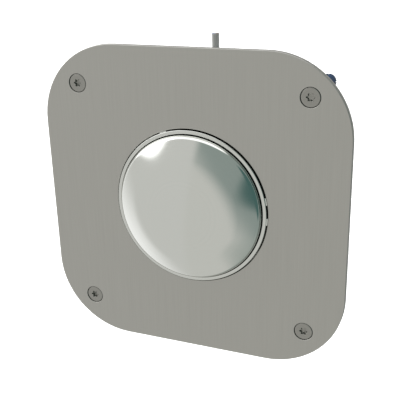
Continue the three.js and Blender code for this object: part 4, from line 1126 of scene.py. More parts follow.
def smooth_route(points: list[Point3], steps: int = 10) -> list[Vector]:
    """Samples the smooth curve through the route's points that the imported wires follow.

    Args:
        points: The route.
        steps: Samples for each stretch between two points.

    Returns:
        The samples.
    """
    stops = [Vector(point) for point in points]
    stops = [2 * stops[0] - stops[1], *stops, 2 * stops[-1] - stops[-2]]
    made = [stops[1]]
    for a, b, c, d in zip(stops, stops[1:], stops[2:], stops[3:]):
        before, across, after = [
            math.sqrt((q - p).length) for p, q in ((a, b), (b, c), (c, d))
        ]
        leave = ((b - a) / before - (c - a) / (before + across) + (c - b) / across) * across
        arrive = ((c - b) / across - (d - b) / (across + after) + (d - c) / after) * across
        for k in range(1, steps + 1):
            t = k / steps
            made.append(
                b * (2 * t ** 3 - 3 * t ** 2 + 1) + leave * (t ** 3 - 2 * t ** 2 + t)
                + c * (3 * t ** 2 - 2 * t ** 3) + arrive * (t ** 3 - t ** 2)
            )
    return made


def path_of(name: str, points: list[Vector]) -> bpy.types.Object:
    """Makes a curve of one open spline.

    Args:
        name: Name of the curve.
        points: Its points in millimetres.

    Returns:
        The curve object.
    """
    curve = bpy.data.curves.new(name, "CURVE")
    curve.dimensions = "3D"
    spline = curve.splines.new("POLY")
    spline.points.add(len(points) - 1)
    for target, point in zip(spline.points, points):
        target.co = (*(point * MM), 1.0)
    return placed(name, curve)


def moved(
    piece: bpy.types.Object, place: Point3 = (0, 0, 0), turn_x: float = 0, turn_z: float = 0
) -> bpy.types.Object:
    """Turns a piece's mesh and moves it, and leaves its object at the origin.

    Args:
        piece: The piece.
        place: Where its origin goes, in millimetres.
        turn_x: Turn about x in degrees, taken first.
        turn_z: Turn about z in degrees.

    Returns:
        The piece.
    """
    about_z = Matrix.Rotation(math.radians(turn_z), 4, "Z")
    about_x = Matrix.Rotation(math.radians(turn_x), 4, "X")
    piece.data.transform(Matrix.Translation(Vector(place) * MM) @ (about_z @ about_x))
    return piece


@dataclass(frozen=True)
class Glow:
    """One soft area of the studio's surroundings.

    Args:
        towards: Its direction.
        colour: sRGB hex.
        strength: What its linear colour is multiplied by.
        full: Degrees from its middle out to which it is whole.
        fade: Degrees at which it has faded out.
    """

    towards: Point3
    colour: str
    strength: float
    full: float
    fade: float

    def radiance(self) -> tuple[float, float, float, float]:
        """Linear colour times strength."""
        red, green, blue, _ = linear(self.colour)
        return red * self.strength, green * self.strength, blue * self.strength, 1.0


@dataclass
class Studio:
    """Camera, floor and light. The camera was solved from the photograph's perspective."""

    azimuth: float = 22.32
    elevation: float = 20.74
    roll: float = -1.42
    distance: float = 286.6
    aside: float = 4.03
    raised: float = 2.69
    aim_depth: float = -2.5
    focal_px: float = 727.0
    frame_px: float = 400.0
    pixel_centre: float = 0.5
    sensor: float = 36.0
    floor_drop: float = 300.0
    floor_half: float = 9000.0
    floor_colour: str = "f0f0ef"
    floor_roughness: float = 0.9
    sun_power: float = 3.2
    sun_spread: float = 70.0
    sun_tilt: float = 22.0
    sun_turn: float = -18.0
    around: Glow = Glow((0, -1, 0), "95a09c", 1.0, 0, 0)
    glows: tuple[Glow, ...] = (
        Glow((-0.55, -0.72, -0.42), "d2d2ce", 1.0, 51, 67),
        Glow((-1.0, 0.0, 0.1), "d5d5d2", 1.0, 71, 79),
        Glow((-0.35, 1.0, 0.0), "ffffff", 1.2, 70, 90),
        Glow((-0.2, 0.0, 0.95), "ffffff", 1.5, 34, 44),
        Glow((0.45, -0.3, -0.84), "a9b0ab", 1.0, 5, 26),
        Glow((0.84, -0.53, 0.11), "4d6b68", 1.0, 26, 33),
        Glow((-0.785, -0.21, 0.585), "ffffff", 2.2, 24, 27),
    )

    def camera(self) -> None:
        """Places the camera where the photograph's stood."""
        turn, tilt, roll = [math.radians(a) for a in (self.azimuth, self.elevation, self.roll)]
        back = Vector((
            math.sin(turn) * math.cos(tilt), -math.cos(turn) * math.cos(tilt), math.sin(tilt)
        ))
        right = Vector((math.cos(turn), math.sin(turn), 0))
        up = back.cross(right)
        aside = right * math.cos(roll) + up * math.sin(roll)
        raised = up * math.cos(roll) - right * math.sin(roll)
        place = (
            back * self.distance + aside * self.aside + raised * self.raised
            + Vector((0, self.aim_depth, 0))
        )
        data = bpy.data.cameras.new("photo_camera")
        data.sensor_width = self.sensor
        data.lens = self.focal_px / self.frame_px * self.sensor
        data.clip_start = 0.01
        data.shift_x = -self.pixel_centre / self.frame_px
        data.shift_y = self.pixel_centre / self.frame_px
        camera = placed("photo_camera", data)
        axes = Matrix((aside, raised, back)).transposed().to_4x4()
        camera.matrix_world = Matrix.Translation(place * MM) @ axes
        bpy.context.scene.camera = camera

    def floor(self) -> None:
        """Lays a plain pale floor, which the polished steel doesn't mirror."""
        half = self.floor_half * MM
        drop = -self.floor_drop * MM
        mesh = bpy.data.meshes.new("studio_floor")
        mesh.from_pydata([(x, y, drop) for x, y in oblong(half, half)], [], [(0, 1, 2, 3)])
        floor = placed("studio_floor", mesh)
        floor.visible_glossy = False
        paint = bpy.data.materials.new("pale_matt_floor")
        paint.use_nodes = True
        tree = paint.node_tree
        tree.nodes.clear()
        shader = add(
            tree, "ShaderNodeBsdfPrincipled",
            {"Base Color": linear(self.floor_colour), "Roughness": self.floor_roughness},
        )
        add(tree, "ShaderNodeOutputMaterial", {"Surface": shader.outputs[0]})
        mesh.materials.append(paint)

    def surroundings(self) -> None:
        """Lights the object all round by soft areas, white where the camera sees past the floor."""
        world = bpy.data.worlds.new("soft_studio")
        bpy.context.scene.world = world
        world.use_nodes = True
        tree = world.node_tree
        tree.nodes.clear()
        direction = add(tree, "ShaderNodeTexCoord").outputs["Generated"]
        colour: object = self.around.radiance()
        for glow in self.glows:
            towards = Vector(glow.towards).normalized()
            facing = add(
                tree, "ShaderNodeVectorMath", {0: direction, 1: towards}, operation="DOT_PRODUCT"
            )
            share = add(
                tree, "ShaderNodeMapRange",
                {
                    "Value": facing.outputs["Value"],
                    "From Min": math.cos(math.radians(glow.fade)),
                    "From Max": math.cos(math.radians(glow.full)),
                },
                interpolation_type="SMOOTHSTEP",
            )
            mixed = add(
                tree, "ShaderNodeMix",
                {"Factor": share.outputs[0], 6: colour, 7: glow.radiance()},
                data_type="RGBA",
            )
            colour = mixed.outputs[2]
        light = add(tree, "ShaderNodeBackground", {"Color": colour})
        plain = add(tree, "ShaderNodeBackground", {"Color": linear("ffffff")})
        seen = add(tree, "ShaderNodeLightPath").outputs["Is Camera Ray"]
        both = add(
            tree, "ShaderNodeMixShader", {0: seen, 1: light.outputs[0], 2: plain.outputs[0]}
        )
        add(tree, "ShaderNodeOutputWorld", {"Surface": both.outputs[0]})

    def overhead(self) -> None:
        """Hangs a wide, soft light over the floor, which the polished steel doesn't mirror."""
        data = bpy.data.lights.new("overhead", "SUN")
        data.energy = self.sun_power
        data.angle = math.radians(self.sun_spread)
        light = placed("overhead", data)
        light.rotation_euler = (math.radians(self.sun_tilt), math.radians(self.sun_turn), 0)
        light.visible_glossy = False

    def build(self) -> None:
        """Makes the whole studio."""
        bpy.context.scene.view_settings.view_transform = "Standard"
        self.camera()
        self.overhead()
        self.floor()
        self.surroundings()
        log.info("studio ready")


@dataclass
class Wiring:
    """The switch's lead, which leaves its clip upwards and ends in a square cut, and its cores."""

    depth: float = 28.5
    low: float = 14.5
    top: float = 63.5
    radius: float = 1.5
    cut_back: float = 0.15
    core_radius: float = 0.65
    copper_radius: float = 0.32
    copper_rise: float = 0.03
    rounding: int = 6
    sleeve_edge: float = 0.45
    core_aside: float = 0.7
    points: int = 18
    open_route: tuple[Point3, ...] = (
        (-0.75, 28.5, 14.2), (-0.75, 28.5, 12.9), (-0.75, 32.25, 11.95), (-0.75, 40.5, 12.4),
        (0, 46.7, 12.55), (0, 48.2, 9.9), (0, 48.2, 8.6),
    )
    common_route: tuple[Point3, ...] = (
        (0.75, 28.5, 14.2), (0.75, 28.5, 12.9), (2.25, 33, 12.25), (3.6, 40.5, 12.7),
        (4.25, 46.7, 9.7), (3.6, 48.2, 5), (3.6, 48.2, -5), (2.88, 48.2, -8.05),
        (0, 48.2, -10.1), (0, 48.2, -11.4),
    )

    def core_end(self, name: str, x: float, radius: float, top: float) -> bpy.types.Object:
        """Makes a short upright rod in the lead's cut face.

        Args:
            name: Name of the piece.
            x: Its place across the lead.
            radius: Its radius.
            top: Its upper end.

        Returns:
            The piece.
        """
        length = self.cut_back * 4
        end = lathe(name, rod(radius, 0, length), SMALL_SIDES)
        return moved(end, (x, self.depth, top - length), turn_x=90)

    def lead(self) -> None:
        """The grey sheath as a straight curve with a round section, with the cut cores in its end.
        """
        rise = self.top - self.cut_back - self.low
        path = [
            Vector((0, self.depth, self.low + rise * k / (self.points - 1)))
            for k in range(self.points)
        ]
        sheath = path_of("lead_sheath", path)
        sheath.data.bevel_depth = self.radius * MM
        sheath.data.bevel_resolution = self.rounding
        sheath.data.use_fill_caps = True
        install(sheath, GREY_SHEATH, "lead")
        for side, finish in ((-1, BLUE_CORE), (1, BROWN_CORE)):
            x = side * self.core_aside
            below = self.top - self.copper_rise
            end = self.core_end(f"{finish.slot}_cut", x, self.core_radius, below)
            install(end, finish)
            copper = self.core_end(f"{finish.slot}_copper", x, self.copper_radius, self.top)
            install(copper, COPPER)

    def core(self, name: str, route: tuple[Point3, ...], finish: Finish, node: str) -> None:
        """Makes one insulated core from the lead to its connector.

        Args:
            name: Name of the piece.
            route: Points on its way.
            finish: Its surface.
            node: The node that it stands for.
        """
        path = path_of(f"{name}_path", smooth_route(list(route)))
        wire = Rule.run(name, wire_rule(), {
            "Path": path, "Radius": self.core_radius * MM, "Material": finish.material(),
        })
        bpy.data.objects.remove(path)
        install(smoothed(wire), finish, node)

    def build(self) -> None:
        """Makes the lead first and then what it feeds."""
        self.lead()
        self.core("core_brown", self.common_route, BROWN_CORE, "core_common")
        self.core("core_blue", self.open_route, BLUE_CORE, "core_open")
        for i in (1, 2):
            name, node = f"connector_sleeve_{i}", f"flag_connector_{i}"
            from_solid(name, node, RED_SLEEVE, self.sleeve_edge, steps=4)


@dataclass
class Panel:
    """The square plate on its gasket, and the four security screws with their plugs."""

    half: float = 62.5
    corner: float = 31.6
    front: float = -2.5
    edge: float = 0.25
    bore: float = 31.85
    screw_offset: float = 46.8
    sink_radius: float = 3.8
    sink_depth: float = 0.424
    sink_break: float = 0.06
    hole_break: float = 0.05
    hole_radius: float = 2.3
    gasket_inset: float = 3.0
    gasket_thickness: float = 2.0
    gasket_bore: float = 48.0
    gasket_edge: float = 0.3
    gasket_hole_edge: float = 0.15
    head_front: float = -2.4
    head_radius: float = 3.55
    recess_radius: float = 1.6
    recess_depth: float = 1.3
    recess_wave: float = 0.16
    shank_radius: float = 2.0
    screw_tip: float = 27.5
    thread_pitch: float = 1.8
    thread_front: float = 3.6
    thread_rear: float = 23.2
    plug_front: float = 2.0
    plug_rear: float = 27.0
    plug_radius: float = 3.0
    plug_rim: float = 3.6
    rim_depth: float = 0.8
    tooth_depth: float = 0.35
    teeth: int = 3
    tooth_step: float = 0.05
    toothed_share: float = 0.6
    plug_edge: float = 0.12
    slit_half: float = 0.2
    slit_length: float = 15.0

    def plate(self) -> None:
        """The stainless sheet, with broken edges and countersinks."""
        sides = edge_rings(self.front, 0, self.edge)
        walls = [[square(self.half - inset, self.corner - inset, y) for inset, y in sides]]
        walls += holes([(0, 0)], self.bore, sides, RING_SIDES)
        radius, hole = self.sink_radius, self.hole_radius
        sink = [
            (radius + 2.5 * self.sink_break, self.front), (radius + self.sink_break, self.front),
            (radius, self.front + self.sink_break), (radius, self.front + self.sink_depth),
            (hole + self.hole_break, -self.hole_break), (hole, 0),
        ]
        walls += holes(corners(self.screw_offset), 0, sink)
        plate = slab("panel_plate", walls)
        two_faced(plate, BRUSHED_SHEET, CUT_EDGE, lambda face: abs(face.normal.y) < 0.4)
        install(plate, BRUSHED_SHEET, "face_plate")

    def gasket(self) -> None:
        """The rubber sheet behind the plate."""
        half = self.half - self.gasket_inset
        corner = self.corner - self.gasket_inset
        sides = edge_rings(0, self.gasket_thickness, self.gasket_edge)
        walls = [[square(half - inset, corner - inset, y) for inset, y in sides]]
        walls += holes([(0, 0)], self.gasket_bore, sides, RING_SIDES)
        small = edge_rings(0, self.gasket_thickness, self.gasket_hole_edge)
        walls += holes(corners(self.screw_offset), self.hole_radius, small)
        gasket = slab("panel_gasket", walls)
        install(gasket, BLACK_RUBBER, "plate_gasket")

    def screws(self) -> None:
        """Countersunk security screws with a six-lobed recess and a wood thread."""
        top, radius, wave = self.head_front, self.head_radius, self.recess_wave
        floor = top + self.recess_depth
        core = self.shank_radius - RIDGE_SHARE * self.thread_pitch
        front, rear = self.thread_front, self.thread_rear
        screw = lathe("screw", [
            (0, floor + 0.15), (self.recess_radius * 0.9, floor, wave),
            (self.recess_radius, floor - 0.1, wave), (self.recess_radius, top + 0.08, wave),
            (self.recess_radius + 0.1, top, wave), (radius * 0.7, top), (radius - 0.3, top),
            (radius - 0.1, top + 0.03), (radius, top + 0.1), (radius, top + 0.17),
            (radius - 0.08, top + 0.26), (self.shank_radius + 0.05, -0.15),
            (self.shank_radius, 0), (self.shank_radius, front - 0.4), (core, front + 0.2),
            (core, rear + 0.3), (core * 0.4, self.screw_tip - 0.6), (0, self.screw_tip),
        ], BAR_SIDES)
        screw = threaded(screw, self.shank_radius, self.thread_pitch, front, rear, SCREW_STEEL)
        at_corners("panel_screws", screw, self.screw_offset, SCREW_STEEL, "fixing_screw")

    def plugs(self) -> None:
        """Toothed wall plugs, split crosswise from the far end."""
        front, rear, radius = self.plug_front, self.plug_rear, self.plug_radius
        root = radius - self.tooth_depth
        tooth = (rear - front) * self.toothed_share / self.teeth
        outline = [
            (self.hole_radius, front), (self.plug_rim, front),
            (self.plug_rim, front + self.rim_depth), (radius, front + self.rim_depth),
        ]
        for i in range(self.teeth, 0, -1):
            start = rear - i * tooth
            outline += [(radius, start), (root, start + self.tooth_step)]
        outline += [(radius, rear - tooth / 2), (radius, rear), (self.hole_radius, rear)]
        plug = lathe("plug", filleted(outline, self.plug_edge), ROD_SIDES)
        half, reach, start = self.slit_half, self.plug_rim + 1, rear - self.slit_length
        slits = [
            prism(f"slit_{i}", oblong(x, z), start, rear + 1)
            for i, (x, z) in enumerate(((reach, half), (half, reach)))
        ]
        joined(plug, slits, "DIFFERENCE")
        at_corners("panel_plugs", plug, self.screw_offset, SHADE_DARKENED_BLUE_NYLON, "wall_plug")

    def build(self) -> None:
        """Makes the panel's pieces."""
        self.plate()
        self.gasket()
        self.screws()
        self.plugs()


def drills(
    places: list[Point2], radius: float, front: float, rear: float
) -> list[bpy.types.Object]:
    """Makes round tools along y, to be cut out of a piece.

    Args:
        places: Their places in x and z.
        radius: Their radius.
        front: Place of their front ends.
        rear: Place of their rear ends.

    Returns:
        The tools.
    """
    return [
        lathe(f"hole_{i}", rod(radius, front, rear), ROD_SIDES, place)
        for i, place in enumerate(places)
    ]


@dataclass
class Collar:
    """The turned collar with its bright ring, the guide liner in it and the flange's seal."""

    bore: float = 30.25
    lip: float = 30.0
    lip_depth: float = 0.8
    ring: float = 31.4
    front: float = -3.3
    slope_width: float = 0.45
    slope_depth: float = 0.16
    edge: float = 0.2
    flange: float = 46.0
    flange_front: float = 1.0
    flange_rear: float = 4.0
    sleeve: float = 33.9
    rear: float = 9.3
    seat: float = 32.2
    seat_front: float = 2.7
    liner_bore: float = 30.15
    liner_radius: float = 31.9
    liner_front: float = 3.0
    liner_edge: float = 0.25
    seal_bore: float = 33.3
    seal_edge: float = 0.15
    stud_offset: float = 28.991
    stud_hole: float = 2.3
    nib_shares: tuple[float, ...] = (0.3049, 0.0296, -0.0118)
    nib_width: float = 0.015
    nib_steps: int = 6
    nib_inner: float = 31.0
    nib_outer: float = 31.8
    nib_front: float = -2.4
    nib_rear: float = -0.6
    nib_edge: float = 0.12

    def nib(self, share: float) -> bpy.types.Object:
        """Makes a small centring block between the ring and the plate.

        Args:
            share: Its middle as a share of a turn, from +x towards +z.

        Returns:
            The block.
        """
        shares = [k / self.nib_steps - 0.5 for k in range(self.nib_steps + 1)]
        turns = [2 * math.pi * (share + self.nib_width * part) for part in shares]
        inner = [(self.nib_inner * math.cos(a), self.nib_inner * math.sin(a)) for a in turns]
        outer = [(self.nib_outer * math.cos(a), self.nib_outer * math.sin(a)) for a in turns]
        block = prism(f"nib_{share:.3f}", inner + outer[::-1], self.nib_front, self.nib_rear)
        return softened(block, self.nib_edge)

    def bezel(self) -> None:
        """The collar: ring, flange and sleeve in one turning, with its nibs."""
        outline = [
            (self.lip, self.front), (self.ring - self.slope_width, self.front),
            (self.ring, self.front + self.slope_depth), (self.ring, self.flange_front),
            (self.flange, self.flange_front), (self.flange, self.flange_rear),
            (self.sleeve, self.flange_rear), (self.sleeve, self.rear), (self.seat, self.rear),
            (self.seat, self.seat_front), (self.bore, self.seat_front),
            (self.bore, self.front + self.lip_depth), (self.lip, self.front + self.lip_depth),
        ]
        collar = lathe("collar_bezel", filleted(outline, self.edge))
        tools = drills(corners(self.stud_offset), self.stud_hole, 0, self.flange_rear + 1)
        joined(collar, tools, "DIFFERENCE")
        joined(collar, [self.nib(share) for share in self.nib_shares], "UNION")
        two_faced(collar, POLISHED_STEEL, TURNED_STEEL, lambda face: face.center.y > 0)
        install(collar, POLISHED_STEEL, "bezel_ring")

    def liner(self) -> None:
        """The acetal ring in which the cap slides."""
        liner = lathe("collar_liner", tube(
            self.liner_bore, self.liner_radius, self.liner_front, self.rear, self.liner_edge
        ))
        install(liner, WHITE_ACETAL, "guide_liner")

    def seal(self) -> None:
        """The flat rubber seal under the flange."""
        sides = edge_rings(0, self.flange_front, self.seal_edge)
        walls = [[circle(0, 0, self.flange - inset, y) for inset, y in sides]]
        walls += holes([(0, 0)], self.seal_bore, sides, RING_SIDES)
        walls += holes(corners(self.stud_offset), self.stud_hole, sides)
        seal = slab("collar_seal", walls)
        install(seal, BLACK_RUBBER, "flange_seal")

    def build(self) -> None:
        """Makes the collar's pieces."""
        self.bezel()
        self.liner()
        self.seal()


def hex_nut(
    name: str, across: float, front: float, rear: float, bore: float
) -> bpy.types.Object:
    """Makes a hexagon nut about the y axis, with turned-off corners.

    Args:
        name: Name of the nut.
        across: Width across the flats.
        front: Its front face.
        rear: Its rear face.
        bore: Radius of its hole.

    Returns:
        The nut.
    """
    reach = across / 2 / math.cos(math.pi / 6)
    turns = [math.pi / 6 + k * math.pi / 3 for k in range(6)]
    hexagon = [(reach * math.cos(turn), reach * math.sin(turn)) for turn in turns]
    nut = prism(name, hexagon, front, rear)
    turned_off = 0.06 * across
    body = lathe("nut_body", [
        (0, front), (reach - 1.6 * turned_off, front), (reach, front + turned_off),
        (reach, rear - turned_off), (reach - 1.6 * turned_off, rear), (0, rear),
    ], BAR_SIDES)
    hole = lathe("nut_hole", [
        (0, front - 1), (bore + 1.2, front - 1), (bore + 0.2, front), (bore, front + 0.25),
        (bore, rear - 0.25), (bore + 0.2, rear), (bore + 1.2, rear + 1), (0, rear + 1),
    ], ROD_SIDES)
    joined(nut, [body], "INTERSECT")
    return joined(nut, [hole], "DIFFERENCE")


@dataclass
class Carrier:
    """What holds the stem behind the plate: studs, spacers, nuts, spider and bush."""

    stud_offset: float = 28.991
    stud_radius: float = 2.0
    stud_rear: float = 22.8
    stud_pitch: float = 0.7
    thread_front: float = 14.2
    spacer_bore: float = 2.3
    spacer_radius: float = 4.0
    spacer_front: float = 4.0
    spacer_rear: float = 15.0
    spacer_edge: float = 0.3
    nut_across: float = 7.0
    nut_front: float = 18.0
    nut_rear: float = 21.4
    nut_flange: float = 4.6
    flange_rim: float = 0.6
    flange_slope: float = 0.7
    flange_height: float = 0.95
    flange_gap: float = 0.05
    flange_edge: float = 0.15
    bush_bore: float = 4.1
    bush_radius: float = 6.0
    bush_flange: float = 9.0
    bush_front: float = 13.0
    bush_step: float = 15.0
    bush_rear: float = 19.0
    bush_edge: float = 0.4
    spider_edge: float = 0.3

    def studs(self) -> None:
        """Weld studs with their rolled thread."""
        core = self.stud_radius - RIDGE_SHARE * self.stud_pitch
        front, rear = self.thread_front, self.stud_rear
        stud = lathe("stud", [
            (0, 0), (self.stud_radius, 0), (self.stud_radius, front - 0.2), (core, front + 0.1),
            (core, rear - 0.4), (core - 0.4, rear), (0, rear),
        ], ROD_SIDES)
        stud = threaded(stud, self.stud_radius, self.stud_pitch, front, rear - 0.3, TURNED_STEEL)
        at_corners("carrier_studs", stud, self.stud_offset, TURNED_STEEL, "weld_stud")

    def spacers(self) -> None:
        """Tubes between the collar's flange and the spider."""
        spacer = lathe("tube", tube(
            self.spacer_bore, self.spacer_radius, self.spacer_front, self.spacer_rear,
            self.spacer_edge,
        ), ROD_SIDES)
        at_corners("carrier_spacers", spacer, self.stud_offset, ZINC_STEEL, "spacer_tube")

    def nuts(self) -> None:
        """Flange nuts on the studs."""
        front, flange, rear = self.nut_front, self.nut_flange, self.nut_front + self.flange_height
        bore = self.stud_radius + self.flange_gap
        nut = hex_nut("nut", self.nut_across, front + 0.3, self.nut_rear, self.stud_radius)
        washer = lathe("washer", filleted([
            (bore, front), (flange, front), (flange, front + self.flange_rim),
            (flange - self.flange_slope, rear), (bore, rear),
        ], self.flange_edge), ROD_SIDES)
        nut = joined(nut, [washer], "UNION")
        at_corners("carrier_nuts", nut, self.stud_offset, ZINC_STEEL, "flange_nut")

    def bush(self) -> None:
        """The acetal bush in the spider's hub."""
        bush = lathe("carrier_bush", filleted([
            (self.bush_bore, self.bush_front), (self.bush_flange, self.bush_front),
            (self.bush_flange, self.bush_step), (self.bush_radius, self.bush_step),
            (self.bush_radius, self.bush_rear), (self.bush_bore, self.bush_rear),
        ], self.bush_edge), BAR_SIDES)
        install(bush, WHITE_ACETAL, "stem_bush")

    def build(self) -> None:
        """Makes the carrier's pieces."""
        self.studs()
        self.spacers()
        self.nuts()
        self.bush()
        from_solid(
            "carrier_spider", "rear_spider", BLACK_NYLON, self.spider_edge, steps=3, crease=28
        )


@dataclass
class Button:
    """The polished cap on its stem, with the spring and what stops it."""

    radius: float = 29.9
    front_radius: float = 29.6
    knuckle: float = 2.2
    inner_knuckle: float = 0.4
    crown: float = 52.0
    crown_slope: float = 25.0
    flank: float = 147.0
    tip: float = -13.5215
    crown_steps: int = 72
    edge_steps: int = 16
    inner_crown_steps: int = 32
    inner_edge_steps: int = 4
    cap_sides: int = 192
    wall: float = 2.5
    wiper_centre: float = -1.2
    groove_half: float = 0.95
    groove_radius: float = 28.45
    skirt_rear: float = 10.5
    skirt_edge: float = 0.4
    boss_radius: float = 9.0
    boss_rear: float = 1.0
    boss_edge: float = 0.3
    socket_radius: float = 4.3
    socket_floor: float = -6.0
    wiper_mean: float = 29.4
    wiper_section: float = 0.8
    wiper_steps: int = 24
    stem_radius: float = 4.0
    stem_front: float = -5.7
    stem_groove: float = 3.0
    stem_chamfer: float = 0.3
    groove_chamfer: float = 0.1
    groove_front: float = 20.3
    groove_rear: float = 21.3
    nose_edge: float = 2.2
    nose_crown: float = 5.0
    nose_tip: float = 22.8
    nose_steps: int = 8
    washer_bore: float = 4.3
    washer_radius: float = 8.0
    washer_front: float = 19.2
    washer_rear: float = 20.2
    washer_edge: float = 0.25
    clip_edge: float = 0.1
    spring_radius: float = 7.4
    wire_radius: float = 0.6
    spring_front: float = 1.9
    spring_rear: float = 12.1
    spring_turns: float = 4.5
    end_turns: float = 0.75
    end_pitch: float = 1.65
    spring_seat: float = 13.0
    spring_keep: float = 0.75

    def crowned(self, inset: float, crown_steps: int, edge_steps: int) -> list[Point2]:
        """Gives the cap's crown, flank and rounded edge as a profile of three tangent arcs.

        Args:
            inset: Distance inwards from the outer surface.
            crown_steps: Stretches on the crown.
            edge_steps: Stretches on the flank and again on the rounded edge.

        Returns:
            Points of radius and y, from the axis outwards.
        """
        turn = math.radians(self.crown_slope)
        bend = max(self.knuckle - inset, self.inner_knuckle)
        end = self.front_radius - inset - bend
        middle = self.tip + self.crown
        flank_out = (self.crown - self.flank) * math.sin(turn)
        flank_middle = middle + (self.flank - self.crown) * math.cos(turn)
        edge = math.asin((end - flank_out) / (self.flank - inset - bend))
        shoulder = flank_middle - (self.flank - inset - bend) * math.cos(edge)
        return [
            *arc(0, middle, self.crown - inset, 0, turn, crown_steps)[:-1],
            *arc(flank_out, flank_middle, self.flank - inset, turn, edge, edge_steps)[:-1],
            *arc(end, shoulder, bend, edge, math.pi / 2, edge_steps),
        ]

    def cap(self) -> None:
        """The dome with its wall, skirt and boss."""
        groove_front = self.wiper_centre - self.groove_half
        groove_rear = self.wiper_centre + self.groove_half
        inside = self.crowned(self.wall, self.inner_crown_steps, self.inner_edge_steps)
        inner = [point for point in reversed(inside) if point[0] > self.boss_radius]
        skirt = filleted([
            (self.radius, groove_rear), (self.radius, self.skirt_rear),
            (self.radius - self.wall, self.skirt_rear), inner[0],
        ], self.skirt_edge, closed=False)
        profile = [
            *self.crowned(0, self.crown_steps, self.edge_steps),
            (self.front_radius, groove_front),
            (self.groove_radius, groove_front), (self.groove_radius, groove_rear), *skirt,
            *inner[1:], (self.boss_radius, inner[-1][1]),
            (self.boss_radius, self.boss_rear - self.boss_edge),
            (self.boss_radius - self.boss_edge, self.boss_rear),
            (self.socket_radius, self.boss_rear), (self.socket_radius, self.socket_floor),
            (0, self.socket_floor),
        ]
        cap = lathe("button_dome", profile, self.cap_sides)
        install(cap, POLISHED_STEEL, "button_cap", body="button")

    def wiper(self) -> None:
        """The O-ring in the cap's groove."""
        start = math.pi / 2
        ring = lathe("button_wiper", arc(
            self.wiper_mean, self.wiper_centre, self.wiper_section, start, start + 2 * math.pi,
            self.wiper_steps,
        )[:-1])
        install(ring, BLACK_RUBBER, "wiper_ring", body="button")

    def stem(self) -> None:
        """The stem with its clip groove and crowned nose."""
        centre = self.nose_tip - self.nose_crown
        edge = math.asin(self.nose_edge / self.nose_crown)
        radius, chamfer, burr = self.stem_radius, self.stem_chamfer, self.groove_chamfer
        stem = lathe("button_shaft", [
            (0, self.stem_front), (radius - chamfer, self.stem_front),
            (radius, self.stem_front + chamfer), (radius, self.groove_front - burr),
            (radius - burr, self.groove_front), (self.stem_groove, self.groove_front),
            (self.stem_groove, self.groove_rear), (radius - burr, self.groove_rear),
            (radius, self.groove_rear + burr), (radius, self.groove_rear + chamfer),
            *arc(0, centre, self.nose_crown, math.pi - edge, math.pi, self.nose_steps)[:-1],
            (0, self.nose_tip),
        ], BAR_SIDES)
        install(stem, TURNED_STEEL, "button_stem", body="button")

    def stops(self) -> None:
        """The washer and the E-clip that keep the button in its bush."""
        washer = lathe("button_washer", tube(
            self.washer_bore, self.washer_radius, self.washer_front, self.washer_rear,
            self.washer_edge,
        ), BAR_SIDES)
        install(washer, BLACK_NYLON, "stop_washer", body="button")
        from_solid("button_eclip", "stem_clip", SPRING_STEEL, self.clip_edge, body="button")

    def spring(self) -> None:
        """The return spring, made at its length with the button out, though the real one shortens
        as the button goes in.
        """
        spring = Rule.run("button_spring", spring_rule(), {
            "Radius": self.spring_radius * MM, "Wire": self.wire_radius * MM,
            "Front": self.spring_front * MM, "Rear": self.spring_rear * MM,
            "Turns": self.spring_turns, "End Turns": self.end_turns,
            "End Pitch": self.end_pitch * MM, "Material": SPRING_STEEL.material(),
        })
        install(smoothed(spring), SPRING_STEEL, "return_spring")
        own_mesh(spring)

    def build(self) -> None:
        """Makes the button's pieces."""
        self.cap()
        self.wiper()
        self.stem()
        self.stops()
        self.spring()


